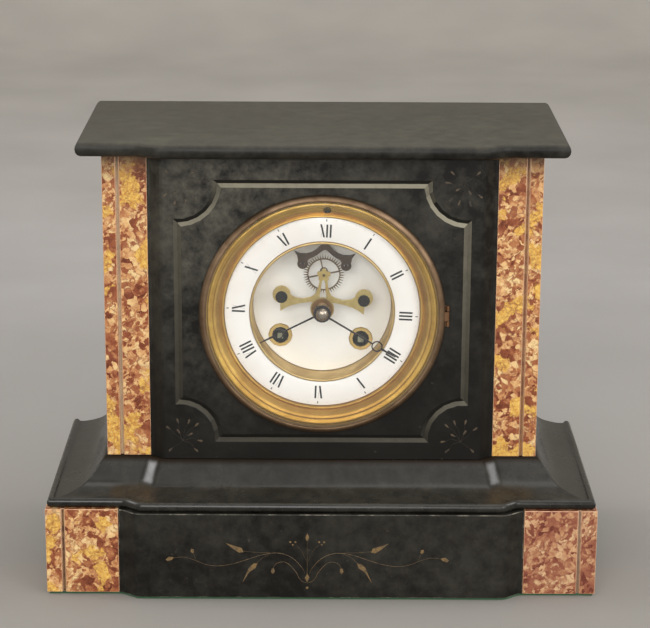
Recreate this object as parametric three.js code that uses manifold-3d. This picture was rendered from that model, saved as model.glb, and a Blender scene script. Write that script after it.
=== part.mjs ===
// Slate mantel clock with marble pilasters and an escapement in front of the dial.
// Millimetres. Z is up and the dial faces -Y. The origin is the middle of the footprint.

import * as THREE from 'three';
import { mergeVertices } from 'three/addons/utils/BufferGeometryUtils.js';
import Module from 'manifold-3d';

const wasm = await Module();
wasm.setup();

// Fits
const JOINT = 0.3; // bedding between pieces that rest on each other
const RUNNING = 0.3; // radial play of arbors, pipes and pins

// Base
const BASE_WIDTH = 360;
const BASE_DEPTH = 166; // corner block face to back
const BASE_TOP = 59.4;
const BASE_BREAK = 8; // how far the middle stands forward of the blocks
const BASE_BREAK_RUN = 14; // sideways run of the curve at each end
const BASE_PANEL_THICK = 32;
const BASE_WALL = 16;
const BLOCK_WIDTH = 47.6;
const BLOCK_DEPTH = 48;
const BLOCK_GROOVE_INSET = 10.3; // outer edge to groove
const FELT_THICK = 1.3;
const FELT_INSET = 1.5;

// Moulding between base and body
const MOULDING_HEIGHT = 24.4;
const MOULDING_LEDGE = 1.2; // flat left on the base
const MOULDING_BEAD = 8.5; // height of the half round
const BEAD_SWELL = 2.6;
const COVE_START = 4; // fillet between bead and cove
const BODY_LEDGE = 2; // flat left round the body
const WELL_WIDTH = 100; // opening that the pendulum hangs through
const WELL_FRONT = 82; // behind the corner block face
const WELL_DEPTH = 52;

// Body
const BODY_SETBACK = 38; // block face to pilaster face, front and sides
const BODY_HEIGHT = 204.4;
const BODY_BREAK = 6.5;
const BODY_BREAK_RUN = 10;
const PANEL_THICK = 26;
const PILASTER_WIDTH = 29;
const PILASTER_GROOVE_INSET = 8.8;
const GROOVE_WIDTH = 2.2;
const GROOVE_DEPTH = 1.6;
const BODY_WALL = 16;
const BACK_THICK = 12;

// Cut frame on the body panel
const FRAME_HALF = 93.5;
const FRAME_LOW = 98;
const FRAME_HIGH = 269.5;
const FRAME_CORNER = 26; // radius of the scooped corners
const FRAME_WIDTH = 5.5;
const FRAME_DEPTH = 2;

// Top slab
const SLAB_THICK = 9.8;
const SLAB_OVERHANG = 15.3;
const SLAB_BREAK = 7;
const SLAB_BREAK_OUTER = 121;
const SLAB_BREAK_INNER = 103;
const SLAB_NOSE = 4.2; // how far the rounded edge swells

// Dial, measured back from the face of the body panel
const DIAL_Z = 182.8;
const DIAL_LEAN = 2.5 * Math.PI / 180; // the movement sits a little clockwise in its hole
const DIAL_HOLE = 72.3;
const BEZEL_RADIUS = 80;
const BEZEL_PROUD = 4.6;
const BEZEL_EDGE = 76; // inner edge of the bezel's lip
const GLASS_RADIUS = 76.2;
const GLASS_FRONT = -3.9;
const GLASS_THICK = 1.5;
const GLASS_BEVEL = 5.2;
const FLANGE_THICK = 0.7;
const SIGHT_BORE = 64;
const HOUR_RING_OUTER = 63.7;
const HOUR_RING_INNER = 47.5;
const HOUR_RING_FACE = 6;
const HOUR_RING_THICK = 2.4;
const PAN_THICK = 1.5;
const PAN_WALL_OUTER = 47.2;
const PAN_WALL_INNER = 45.8;
const PAN_LIP = 44;
const CENTRE_FACE = 25;
const CENTRE_THICK = 1.8;
const GROMMET_OUTER = 8;
const GROMMET_BORE = 5.6;
const WINDING_X = 26.6;
const WINDING_Z = -22;
const REGULATOR_Z = 69.6;
const REGULATOR_HOLE = 2.6;

// Movement frame
const FRONT_PLATE = 35;
const PLATE_THICK = 2.5;
const PLATE_GAP = 33.5;
const PLATE_RADIUS = 51;
const PILLAR_RADIUS = 3;
const PIVOT = 0.8;
const ARBOR = 1.2;
const SLIM_ARBOR = 0.9;

// Going train, teeth and modules
const GREAT_TEETH = 54;
const GREAT_MODULE = 0.667;
const GREAT_PINION = 9;
const INTER_TEETH = 45;
const INTER_MODULE = 0.707;
const INTER_PINION = 9;
const CENTRE_TEETH = 60;
const CENTRE_MODULE = 0.56;
const CENTRE_PINION = 6;
const THIRD_TEETH = 60;
const THIRD_MODULE = 0.5;
const THIRD_PINION = 6;
const DRUM_RADIUS = 16;
const WHEEL_THICK = 1.2;

// Motion work
const CANNON_TEETH = 8;
const MINUTE_TEETH = 24;
const MINUTE_MODULE = 0.675;
const MINUTE_PINION = 8;
const HOUR_TEETH = 32;

// Strike train
const STRIKE_TEETH = 45;
const STRIKE_MODULE = 0.6;
const STRIKE_PINION = 6;
const PIN_TEETH = 36;
const PIN_MODULE = 0.667;
const FLY_PINION = 6;
const FLY_RADIUS = 8.5;
const HAMMER_AT = [-42, 4];
const HAMMER_HEAD = 3.5;
const BELL_RADIUS = 36;
const BELL_Z = -8;
const BELL_MOUTH = 89;
const BELL_DEPTH = 21.5;

// Escapement and pendulum
const ESCAPE_Z = 22.9;
const ESCAPE_TEETH = 45;
const ESCAPE_TIP = 13.4;
const ESCAPE_ROOT = 10.8;
const ESCAPE_RIM = 0.7;
const ESCAPE_PLANE = 16;
const PALLET_Z = 42.3;
const PALLET_PIN_X = 14.2;
const PALLET_PIN_Z = 30;
const PALLET_PIN = 1.1;
const PALLET_HOLDER = 3.5;
const ANCHOR_FRONT = 13.4;
const ANCHOR_THICK = 1.9;
const COCK_FRONT = 13.3;
const COCK_THICK = 1.8;
const COCK_SCREW_X = 27;
const COCK_SCREW_Z = 7.2;
const COCK_FOOT = 4.2;
const COCK_PAD = 5.9;
const COCK_BOSS = 7.8;
const PENDULUM_LENGTH = 159;
const PENDULUM_PLANE = 82;
const ROD_RADIUS = 1.2;
const BOB_RADIUS = 21;
const BOB_THICK = 10;

// Hands
const HOUR_LENGTH = 45.7;
const HOUR_MOON = 32;
const HOUR_ANGLE = 240.8;
const MINUTE_LENGTH = 56;
const MINUTE_MOON = 42;
const MINUTE_ANGLE = 118.8;
const HAND_THICK = 0.9;
const MINUTE_HAND_FRONT = 1.5;
const HOUR_HAND_FRONT = 3.6;
const CANNON_PIPE = 2;
const HOUR_PIPE = 3.2;

// Back
const BACK_HOLE = 62;
const BACK_FLANGE = 67;
const BACK_LIP = 53;
const DOOR_RADIUS = 64;
const DOOR_STANDS_OUT = 8;
const STRAP_X = 58;
const STRAP_WIDTH = 12;
const STRAP_THICK = 1.5;

// Hinges of bezel and back door
const KNUCKLE = 1.2;
const HINGE_PIN = 0.5;
const KNUCKLE_HALF = 3;
const KNUCKLE_END = 7;

// Places that follow from the sizes
const DEPTH_OVERALL = BASE_BREAK + BASE_DEPTH + DOOR_STANDS_OUT;
const BLOCK_FRONT = BASE_BREAK - DEPTH_OVERALL / 2;
const CASE_BACK = BLOCK_FRONT + BASE_DEPTH;
const BASE_HALF = BASE_WIDTH / 2;
const BODY_HALF = BASE_HALF - BODY_SETBACK;
const PILASTER_FRONT = BLOCK_FRONT + BODY_SETBACK;
const PILASTER_INNER = BODY_HALF - PILASTER_WIDTH;
const PANEL_FRONT = PILASTER_FRONT - BODY_BREAK;
const BODY_BOTTOM = BASE_TOP + MOULDING_HEIGHT;
const BODY_TOP = BODY_BOTTOM + BODY_HEIGHT;
const REAR = CASE_BACK - PANEL_FRONT; // case back, measured from the panel face
const INSIDE = FRONT_PLATE + PLATE_THICK;
const BACK_PLATE = INSIDE + PLATE_GAP;
const BEHIND = BACK_PLATE + PLATE_THICK;
const QUARTER = Math.PI / 2;

// Looks
const slate = { color: 0x2a2826, roughness: 0.42, metalness: 0 };
const marble = { color: 0xd9a957, roughness: 0.3, metalness: 0 };
const brass = { color: 0xb98f4a, roughness: 0.32, metalness: 1 };
const dullBrass = { color: 0x7d5f42, roughness: 0.45, metalness: 1 };
const enamel = { color: 0xf3f0e8, roughness: 0.22, metalness: 0 };
const steel = { color: 0x8d8f92, roughness: 0.3, metalness: 1 };
const blued = { color: 0x1f2a44, roughness: 0.3, metalness: 1 };
const bronze = { color: 0x5a4632, roughness: 0.4, metalness: 1 };
const glass = { color: 0xeef3f2, roughness: 0.05, metalness: 0, transparent: true, opacity: 0.2 };
const agate = { color: 0x8c2f22, roughness: 0.15, metalness: 0 };
const felt = { color: 0x2f5a3a, roughness: 0.95, metalness: 0 };

// Merges shared corners and leaves out the empty triangles on a revolve's axis.
function closed(geometry) {
  const bare = new THREE.BufferGeometry();
  bare.setAttribute('position', geometry.getAttribute('position'));
  bare.setIndex(geometry.getIndex());
  const merged = mergeVertices(bare, 1e-4);
  const corner = merged.getIndex().array;
  const kept = [];
  for (let i = 0; i < corner.length; i += 3) {
    const [a, b, c] = [corner[i], corner[i + 1], corner[i + 2]];
    if (a !== b && b !== c && c !== a) kept.push(a, b, c);
  }
  merged.setIndex(kept);
  return merged;
}

function toSolid(geometry) {
  const ready = closed(geometry);
  const vertProperties = new Float32Array(ready.getAttribute('position').array);
  const triVerts = new Uint32Array(ready.getIndex().array);
  return new wasm.Manifold(new wasm.Mesh({ numProp: 3, vertProperties, triVerts }));
}

function fromSolid(solid) {
  const mesh = solid.getMesh();
  const geometry = new THREE.BufferGeometry();
  geometry.setAttribute('position', new THREE.BufferAttribute(mesh.vertProperties, 3));
  geometry.setIndex(new THREE.BufferAttribute(mesh.triVerts, 1));
  return geometry;
}

function join(...pieces) {
  const solids = pieces.map(toSolid);
  return fromSolid(solids.reduce((whole, next) => whole.add(next)));
}

function cut(piece, ...tools) {
  const solids = tools.map(toSolid);
  return fromSolid(solids.reduce((whole, tool) => whole.subtract(tool), toSolid(piece)));
}

function box(x0, x1, y0, y1, z0, z1) {
  const geometry = new THREE.BoxGeometry(x1 - x0, y1 - y0, z1 - z0);
  return geometry.translate((x0 + x1) / 2, (y0 + y1) / 2, (z0 + z1) / 2);
}

// Revolves a profile of [radius, depth] points about the Y axis.
function revolve(profile, sides) {
  let area = 0;
  profile.forEach(([r, y], i) => {
    const [r2, y2] = profile[(i + 1) % profile.length];
    area += r * y2 - r2 * y;
  });
  const points = profile.map(([r, y]) => new THREE.Vector2(r, y));
  if (area < 0) points.reverse();
  const onAxis = points[0].x === 0 && points.at(-1).x === 0;
  if (!onAxis) points.push(points[0].clone());
  return new THREE.LatheGeometry(points, sides);
}

function ring(inner, outer, front, back, sides) {
  return revolve([[inner, front], [outer, front], [outer, back], [inner, back]], sides);
}

function rod(radius, front, back, sides = 12) {
  return revolve([[0, front], [radius, front], [radius, back], [0, back]], sides);
}

function at([x, z], geometry) {
  return geometry.translate(x, 0, z);
}

// A rod that stands upright along Z.
function upright(radius, low, high, x, y, sides = 8) {
  return rod(radius, -high, -low, sides).rotateX(-QUARTER).translate(x, y, 0);
}

function outline(points) {
  return new THREE.Shape(points.map(([x, z]) => new THREE.Vector2(x, z)));
}

function disc(radius, sides, x = 0, z = 0) {
  const points = Array.from({ length: sides }, (_, i) => {
    const a = i / sides * 2 * Math.PI;
    return [x + radius * Math.cos(a), z + radius * Math.sin(a)];
  });
  return outline(points);
}

// A flat outline in X and Z, made thick from front to back along Y.
function plate(shape, front, back) {
  const options = { depth: back - front, bevelEnabled: false, curveSegments: 3 };
  return new THREE.ExtrudeGeometry(shape, options).rotateX(QUARTER).translate(0, back, 0);
}

// A plan outline in X and Y, raised along Z.
function raise(points, low, high) {
  const options = { depth: high - low, bevelEnabled: false };
  return new THREE.ExtrudeGeometry(outline(points), options).translate(0, 0, low);
}

// Joins equal loops of points, listed from bottom to top, into one capped solid.
function loft(levels) {
  const count = levels[0].length;
  const faces = [];
  for (let k = 0; k < levels.length - 1; k++) {
    for (let i = 0; i < count; i++) {
      const a = k * count + i;
      const b = k * count + (i + 1) % count;
      faces.push(a, b, b + count, a, b + count, a + count);
    }
  }
  const cap = (level) => {
    const contour = level.map(([x, y]) => new THREE.Vector2(x, y));
    return THREE.ShapeUtils.triangulateShape(contour, []);
  };
  const top = (levels.length - 1) * count;
  cap(levels[0]).forEach(([a, b, c]) => faces.push(a, c, b));
  cap(levels.at(-1)).forEach(([a, b, c]) => faces.push(top + a, top + b, top + c));
  const geometry = new THREE.BufferGeometry();
  geometry.setAttribute('position', new THREE.Float32BufferAttribute(levels.flat(2), 3));
  geometry.setIndex(faces);
  return geometry;
}

// Joins equal loops into a ring whose section is the polygon through the loops.
function loopRing(loops) {
  const count = loops[0].length;
  const faces = [];
  loops.forEach((_, k) => {
    const next = (k + 1) % loops.length;
    for (let i = 0; i < count; i++) {
      const j = (i + 1) % count;
      const [a, b] = [k * count + i, k * count + j];
      const [c, d] = [next * count + j, next * count + i];
      faces.push(a, b, c, a, c, d);
    }
  });
  const geometry = new THREE.BufferGeometry();
  geometry.setAttribute('position', new THREE.Float32BufferAttribute(loops.flat(2), 3));
  geometry.setIndex(faces);
  return geometry;
}

// Plan of a front whose middle stands forward, with an S curve at each end of the middle.
function breakfront({ half, side, middle, back, outer, inner }) {
  const steps = 6;
  const left = [[-half, back]];
  if (outer < half) left.push([-half, side]);
  for (let i = 0; i <= steps; i++) {
    const t = i / steps;
    const ease = t * t * (3 - 2 * t);
    left.push([-outer + (outer - inner) * t, side + (middle - side) * ease]);
  }
  const right = left.map(([x, y]) => [-x, y]).reverse();
  return [...left, ...right];
}

const clock = new THREE.Group();
const front = new THREE.Group(); // measured from the panel face at the dial's centre
front.position.set(0, PANEL_FRONT, DIAL_Z);
const movement = new THREE.Group();
movement.rotation.y = DIAL_LEAN;
front.add(movement);
clock.add(front);

function add(group, name, geometry, look) {
  const mesh = new THREE.Mesh(closed(geometry), new THREE.MeshStandardMaterial(look));
  mesh.name = name;
  group.add(mesh);
}

// Base: felt, front panel, corner blocks, sides and back
const BLOCK_INNER = BASE_HALF - BLOCK_WIDTH;
const BASE_FLOOR = FELT_THICK + JOINT;
const feltPlan = breakfront({
  half: BASE_HALF - FELT_INSET,
  side: BLOCK_FRONT + FELT_INSET,
  middle: BLOCK_FRONT - BASE_BREAK + FELT_INSET,
  back: CASE_BACK - FELT_INSET,
  outer: BLOCK_INNER,
  inner: BLOCK_INNER - BASE_BREAK_RUN,
});
add(clock, 'base_felt', raise(feltPlan, 0, FELT_THICK), felt);

const BASE_PANEL_HALF = BLOCK_INNER - JOINT;
const basePanelPlan = breakfront({
  half: BASE_PANEL_HALF,
  side: BLOCK_FRONT,
  middle: BLOCK_FRONT - BASE_BREAK,
  back: BLOCK_FRONT - BASE_BREAK + BASE_PANEL_THICK,
  outer: BASE_PANEL_HALF,
  inner: BASE_PANEL_HALF - BASE_BREAK_RUN,
});
add(clock, 'base_front_panel', raise(basePanelPlan, BASE_FLOOR, BASE_TOP), slate);

// A stone post with an upright groove on its face, outer edge at x = half on the right.
function groovedPost(half, width, face, depth, low, high, inset) {
  const post = box(half - width, half, face, face + depth, low, high);
  const edge = half - inset;
  const bottom = face + GROOVE_DEPTH;
  return cut(post, box(edge - GROOVE_WIDTH, edge, face - 1, bottom, low - 1, high + 1));
}

// The same piece on the left, with its faces kept pointing out.
function mirrored(geometry) {
  const copy = closed(geometry).scale(-1, 1, 1);
  const corner = copy.getIndex().array;
  for (let i = 0; i < corner.length; i += 3) {
    [corner[i], corner[i + 1]] = [corner[i + 1], corner[i]];
  }
  return copy;
}

function pair(group, name, geometry, look) {
  add(group, `${name}_right`, geometry, look);
  add(group, `${name}_left`, mirrored(geometry), look);
}

const block = groovedPost(
  BASE_HALF, BLOCK_WIDTH, BLOCK_FRONT, BLOCK_DEPTH, BASE_FLOOR, BASE_TOP, BLOCK_GROOVE_INSET,
);
pair(clock, 'base_block', block, marble);
const baseSideFront = BLOCK_FRONT + BLOCK_DEPTH + JOINT;
const baseSide = box(
  BASE_HALF - BASE_WALL, BASE_HALF, baseSideFront, CASE_BACK, BASE_FLOOR, BASE_TOP,
);
pair(clock, 'base_side', baseSide, slate);
const baseBackHalf = BASE_HALF - BASE_WALL - JOINT;
const baseBack = box(
  -baseBackHalf, baseBackHalf, CASE_BACK - BASE_WALL, CASE_BACK, BASE_FLOOR, BASE_TOP,
);
add(clock, 'base_back', baseBack, slate);

// Moulding: a bead and a cove that follow the plan of the front, with a well for the pendulum
const MOULDING_TOP = BODY_BOTTOM - JOINT;
const mouldingProfile = [];
for (let i = 0; i <= 6; i++) {
  const a = i / 6 * Math.PI;
  const swell = BEAD_SWELL * Math.sin(a);
  const z = BASE_TOP + JOINT + MOULDING_BEAD * (1 - Math.cos(a)) / 2;
  mouldingProfile.push([MOULDING_LEDGE + BEAD_SWELL - swell, z]);
}
const coveFrom = MOULDING_LEDGE + BEAD_SWELL + COVE_START;
const coveTo = BODY_SETBACK - BODY_LEDGE;
const coveLow = BASE_TOP + JOINT + MOULDING_BEAD + JOINT;
for (let i = 0; i <= 6; i++) {
  const a = i / 6 * QUARTER;
  const inset = coveFrom + (coveTo - coveFrom) * Math.sin(a);
  mouldingProfile.push([inset, MOULDING_TOP - (MOULDING_TOP - coveLow) * Math.cos(a)]);
}
const mouldingLevels = mouldingProfile.map(([inset, z]) => {
  const t = inset / BODY_SETBACK;
  const outer = THREE.MathUtils.lerp(BLOCK_INNER, PILASTER_INNER, t);
  const run = THREE.MathUtils.lerp(BASE_BREAK_RUN, BODY_BREAK_RUN, t);
  const plan = breakfront({
    half: BASE_HALF - inset,
    side: BLOCK_FRONT + inset,
    middle: BLOCK_FRONT + inset - THREE.MathUtils.lerp(BASE_BREAK, BODY_BREAK, t),
    back: CASE_BACK,
    outer,
    inner: outer - run,
  });
  return plan.map(([x, y]) => [x, y, z]);
});
const wellFront = BLOCK_FRONT + WELL_FRONT;
const well = box(
  -WELL_WIDTH / 2, WELL_WIDTH / 2, wellFront, wellFront + WELL_DEPTH, 0, BODY_TOP,
);
add(clock, 'base_moulding', cut(loft(mouldingLevels), well), slate);

// Body: front panel with the dial hole and the cut frame, pilasters, sides and back
const PANEL_HALF = PILASTER_INNER - JOINT;
const panelPlan = breakfront({
  half: PANEL_HALF,
  side: PILASTER_FRONT,
  middle: PANEL_FRONT,
  back: PANEL_FRONT + PANEL_THICK,
  outer: PANEL_HALF,
  inner: PANEL_HALF - BODY_BREAK_RUN,
});
const dialHole = rod(DIAL_HOLE, -1, PANEL_THICK + 1, 40).translate(0, PANEL_FRONT, DIAL_Z);

// One edge of the frame line, moved out from its middle by the given distance.
function frameLoop(out, depth) {
  const radius = FRAME_CORNER - out;
  const reach = Math.sqrt(radius * radius - out * out);
  const from = Math.atan2(-reach, out);
  const to = -1.5 * Math.PI - from;
  const middle = (FRAME_LOW + FRAME_HIGH) / 2;
  const tall = (FRAME_HIGH - FRAME_LOW) / 2;
  const corner = Array.from({ length: 7 }, (_, i) => {
    const a = from + (to - from) * i / 6;
    return [FRAME_HALF + radius * Math.cos(a), tall + radius * Math.sin(a)];
  });
  const flip = (points, sx, sz) => points.map(([x, z]) => [x * sx, z * sz]);
  const loop = [
    ...corner,
    ...flip(corner, -1, 1).reverse(),
    ...flip(corner, -1, -1),
    ...flip(corner, 1, -1).reverse(),
  ];
  return loop.map(([x, z]) => [x, PANEL_FRONT + depth, middle + z]);
}
const proud = 0.5;
const slope = 1 + proud / FRAME_DEPTH;
const frameCut = loopRing([
  frameLoop(-FRAME_WIDTH / 2 * slope, -proud),
  frameLoop(0, FRAME_DEPTH),
  frameLoop(FRAME_WIDTH / 2 * slope, -proud),
]);
const PANEL_TOP = BODY_TOP - JOINT;
const panel = cut(raise(panelPlan, BODY_BOTTOM, PANEL_TOP), dialHole, frameCut);
add(clock, 'body_front_panel', panel, slate);

const pilaster = groovedPost(
  BODY_HALF, PILASTER_WIDTH, PILASTER_FRONT, PILASTER_WIDTH, BODY_BOTTOM, PANEL_TOP,
  PILASTER_GROOVE_INSET,
);
pair(clock, 'pilaster', pilaster, marble);
const bodySideFront = PILASTER_FRONT + PILASTER_WIDTH + JOINT;
const bodySide = box(
  BODY_HALF - BODY_WALL, BODY_HALF, bodySideFront, CASE_BACK, BODY_BOTTOM, PANEL_TOP,
);
pair(clock, 'body_side', bodySide, slate);
const bodyBackHalf = BODY_HALF - BODY_WALL - JOINT;
const bodyBack = box(
  -bodyBackHalf, bodyBackHalf, CASE_BACK - BACK_THICK, CASE_BACK, BODY_BOTTOM, PANEL_TOP,
);
const backHole = rod(BACK_HOLE, -BACK_THICK - 1, 1, 26).translate(0, CASE_BACK, DIAL_Z);
add(clock, 'body_back', cut(bodyBack, backHole), slate);

// Top slab with a rounded edge on front and sides
const slabLevels = [];
for (let i = 0; i <= 6; i++) {
  const a = (i / 3 - 1) * 1.35;
  const inset = SLAB_NOSE * (1 - Math.cos(a));
  const z = BODY_TOP + SLAB_THICK / 2 * (1 + Math.sin(a) / Math.sin(1.35));
  const side = PILASTER_FRONT - SLAB_OVERHANG + inset;
  const plan = breakfront({
    half: BODY_HALF + SLAB_OVERHANG - inset,
    side,
    middle: side - SLAB_BREAK,
    back: CASE_BACK,
    outer: SLAB_BREAK_OUTER,
    inner: SLAB_BREAK_INNER,
  });
  slabLevels.push(plan.map(([x, y]) => [x, y, z]));
}
add(clock, 'top_slab', loft(slabLevels), slate);

// Hinge knuckles on an upright axis: two fixed ones on a pin, and a loose one between them
function fixedKnuckles(x, y) {
  const gap = KNUCKLE_HALF + JOINT;
  return join(
    upright(HINGE_PIN, -KNUCKLE_END, KNUCKLE_END, x, y),
    upright(KNUCKLE, gap, KNUCKLE_END, x, y),
    upright(KNUCKLE, -KNUCKLE_END, -gap, x, y),
  );
}
function looseKnuckle(x, y) {
  return upright(KNUCKLE, -KNUCKLE_HALF, KNUCKLE_HALF, x, y);
}
function knuckleBore(x, y) {
  return upright(HINGE_PIN + RUNNING, -KNUCKLE_HALF - 1, KNUCKLE_HALF + 1, x, y);
}

// Bezel: sight ring fixed on the panel, hinged bezel and bevelled glass
const RING_SIDES = 32;
const FLANGE_BACK = -JOINT;
const FLANGE_FRONT = FLANGE_BACK - FLANGE_THICK;
const BEZEL_BACK = FLANGE_FRONT - JOINT;
const BEZEL_HINGE_X = BEZEL_RADIUS + KNUCKLE + JOINT;
const BEZEL_HINGE_Y = BEZEL_BACK - 0.6;
const SPIGOT = DIAL_HOLE - 0.6;
const SIGHT_BACK = HOUR_RING_FACE + HOUR_RING_THICK;
const FLANGE_EDGE = BEZEL_RADIUS - 0.4;
const sightProfile = [
  [FLANGE_EDGE, FLANGE_BACK],
  [FLANGE_EDGE, FLANGE_FRONT],
  [SIGHT_BORE + 10.9, FLANGE_FRONT],
  [SIGHT_BORE + 10, FLANGE_FRONT - 0.7],
  [SIGHT_BORE + 8.6, FLANGE_FRONT - 0.5],
  [SIGHT_BORE + 7.3, FLANGE_FRONT + 0.1],
  [SIGHT_BORE + 6.6, 0.4],
  [SIGHT_BORE + 5.4, 0.6],
  [SIGHT_BORE + 3.6, 2.3],
  [SIGHT_BORE + 2.1, 3.9],
  [SIGHT_BORE + 1.4, 3.1],
  [SIGHT_BORE + 0.6, 3],
  [SIGHT_BORE, 3.6],
  [SIGHT_BORE, SIGHT_BACK],
  [SPIGOT, SIGHT_BACK],
  [SPIGOT, FLANGE_BACK],
];
const regulatorHole = at([0, REGULATOR_Z], rod(REGULATOR_HOLE, -3, SIGHT_BACK + 1)).rotateY(DIAL_LEAN);
const bezelTab = (low, high) => {
  return box(FLANGE_EDGE - 1.5, BEZEL_HINGE_X, FLANGE_FRONT, FLANGE_BACK, low, high);
};
const sightRing = cut(
  join(
    revolve(sightProfile, RING_SIDES),
    fixedKnuckles(BEZEL_HINGE_X, BEZEL_HINGE_Y),
    bezelTab(KNUCKLE_HALF + JOINT, KNUCKLE_END),
    bezelTab(-KNUCKLE_END, -KNUCKLE_HALF - JOINT),
  ),
  regulatorHole,
);
add(front, 'sight_ring', sightRing, brass);

const GLASS_BACK = GLASS_FRONT + GLASS_THICK;
const GLASS_SEAT = GLASS_RADIUS + JOINT;
const bezelProfile = [
  [BEZEL_RADIUS, BEZEL_BACK],
  [BEZEL_RADIUS, BEZEL_BACK - 0.7],
  [BEZEL_RADIUS - 0.8, BEZEL_BACK - 2.1],
  [BEZEL_RADIUS - 2, BEZEL_BACK - 3],
  [BEZEL_RADIUS - 3, -BEZEL_PROUD],
  [BEZEL_EDGE, -BEZEL_PROUD + 0.2],
  [BEZEL_EDGE, GLASS_FRONT - JOINT],
  [GLASS_SEAT, GLASS_FRONT - JOINT],
  [GLASS_SEAT, GLASS_BACK + JOINT],
  [GLASS_RADIUS - 0.9, GLASS_BACK + JOINT],
  [GLASS_RADIUS - 0.9, BEZEL_BACK],
];
const bezelWeb = box(
  BEZEL_RADIUS - 1.5, BEZEL_HINGE_X, BEZEL_HINGE_Y - KNUCKLE, BEZEL_HINGE_Y,
  -KNUCKLE_HALF, KNUCKLE_HALF,
);
const bezel = cut(
  join(revolve(bezelProfile, RING_SIDES), looseKnuckle(BEZEL_HINGE_X, BEZEL_HINGE_Y), bezelWeb),
  knuckleBore(BEZEL_HINGE_X, BEZEL_HINGE_Y),
);
add(front, 'bezel_ring', bezel, dullBrass);
const glassProfile = [
  [0, GLASS_FRONT],
  [GLASS_RADIUS - GLASS_BEVEL, GLASS_FRONT],
  [GLASS_RADIUS, GLASS_FRONT + GLASS_THICK * 0.6],
  [GLASS_RADIUS, GLASS_BACK],
  [0, GLASS_BACK],
];
add(front, 'bezel_glass', revolve(glassProfile, RING_SIDES), glass);

// Dial: hour ring on a brass pan whose wall runs back to the sunk centre
const PAN_FRONT = SIGHT_BACK + JOINT;
const PAN_BACK = PAN_FRONT + PAN_THICK;
const PAN_EDGE = SPIGOT - 0.4;
const LIP_FRONT = CENTRE_FACE + CENTRE_THICK + JOINT;
const LIP_BACK = LIP_FRONT + 1.2;
add(
  movement, 'hour_ring',
  ring(HOUR_RING_INNER, HOUR_RING_OUTER, HOUR_RING_FACE, SIGHT_BACK, RING_SIDES), enamel,
);
const panProfile = [
  [PAN_WALL_INNER, HOUR_RING_FACE - 1],
  [PAN_WALL_OUTER, HOUR_RING_FACE - 1],
  [PAN_WALL_OUTER, PAN_FRONT],
  [PAN_EDGE, PAN_FRONT],
  [PAN_EDGE, PAN_BACK],
  [PAN_WALL_OUTER, PAN_BACK],
  [PAN_WALL_OUTER, LIP_BACK],
  [PAN_LIP, LIP_BACK],
  [PAN_LIP, LIP_FRONT],
  [PAN_WALL_INNER, LIP_FRONT],
];
const panHole = at([0, REGULATOR_Z], rod(REGULATOR_HOLE, PAN_FRONT - 1, PAN_BACK + 1));
add(movement, 'dial_pan', cut(revolve(panProfile, RING_SIDES), panHole), brass);

const winding = [WINDING_X, WINDING_Z];
const windingLeft = [-WINDING_X, WINDING_Z];
const cockScrew = [COCK_SCREW_X, COCK_SCREW_Z];
const cockScrewLeft = [-COCK_SCREW_X, COCK_SCREW_Z];
const escapeAt = [0, ESCAPE_Z];
const palletAt = [0, PALLET_Z];
const GROMMET_SLEEVE = GROMMET_BORE + 0.6;
const centreHole = ([x, z], radius, sides) => {
  return at([x, z], rod(radius, CENTRE_FACE - 1, CENTRE_FACE + CENTRE_THICK + 1, sides));
};
const centreDial = cut(
  rod(PAN_WALL_INNER - JOINT, CENTRE_FACE, CENTRE_FACE + CENTRE_THICK, RING_SIDES),
  centreHole([0, 0], HOUR_PIPE + 1.5, 12),
  centreHole(winding, GROMMET_SLEEVE + 0.6, 12),
  centreHole(windingLeft, GROMMET_SLEEVE + 0.6, 12),
  centreHole(cockScrew, COCK_FOOT + 0.4, 12),
  centreHole(cockScrewLeft, COCK_FOOT + 0.4, 12),
  centreHole(escapeAt, 2.6, 10),
  centreHole(palletAt, 2.2, 10),
);
add(movement, 'centre_dial', centreDial, enamel);
const grommetProfile = [
  [GROMMET_BORE, CENTRE_FACE - JOINT - 0.7],
  [GROMMET_OUTER - 0.6, CENTRE_FACE - JOINT - 0.7],
  [GROMMET_OUTER, CENTRE_FACE - JOINT],
  [GROMMET_SLEEVE, CENTRE_FACE - JOINT],
  [GROMMET_SLEEVE, CENTRE_FACE + CENTRE_THICK],
  [GROMMET_BORE, CENTRE_FACE + CENTRE_THICK],
];
pair(movement, 'winding_grommet', at(winding, revolve(grommetProfile, 12)), brass);

// Gears: pointed wheel teeth and slim pinion leaves
function wheelOutline(teeth, module, toward) {
  const pitch = teeth * module / 2;
  const points = [];
  for (let i = 0; i < teeth; i++) {
    const a = toward + i / teeth * 2 * Math.PI;
    const half = Math.PI / teeth;
    const [tip, root] = [pitch + module, pitch - 1.25 * module];
    points.push([tip * Math.cos(a), tip * Math.sin(a)]);
    points.push([root * Math.cos(a + half), root * Math.sin(a + half)]);
  }
  return outline(points);
}

// The outline has a gap, not a leaf, on the line toward the wheel it meets.
function pinionOutline(leaves, module, toward) {
  const pitch = leaves * module / 2;
  const points = [];
  for (let i = 0; i < leaves; i++) {
    const a = toward + (i + 0.5) / leaves * 2 * Math.PI;
    const step = 2 * Math.PI / leaves;
    const [tip, root] = [pitch + 0.7 * module, pitch - 1.3 * module];
    const corners = [[root, -0.2], [tip, 0], [root, 0.2]];
    corners.forEach(([r, share]) => {
      points.push([r * Math.cos(a + share * step), r * Math.sin(a + share * step)]);
    });
  }
  return outline(points);
}

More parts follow.
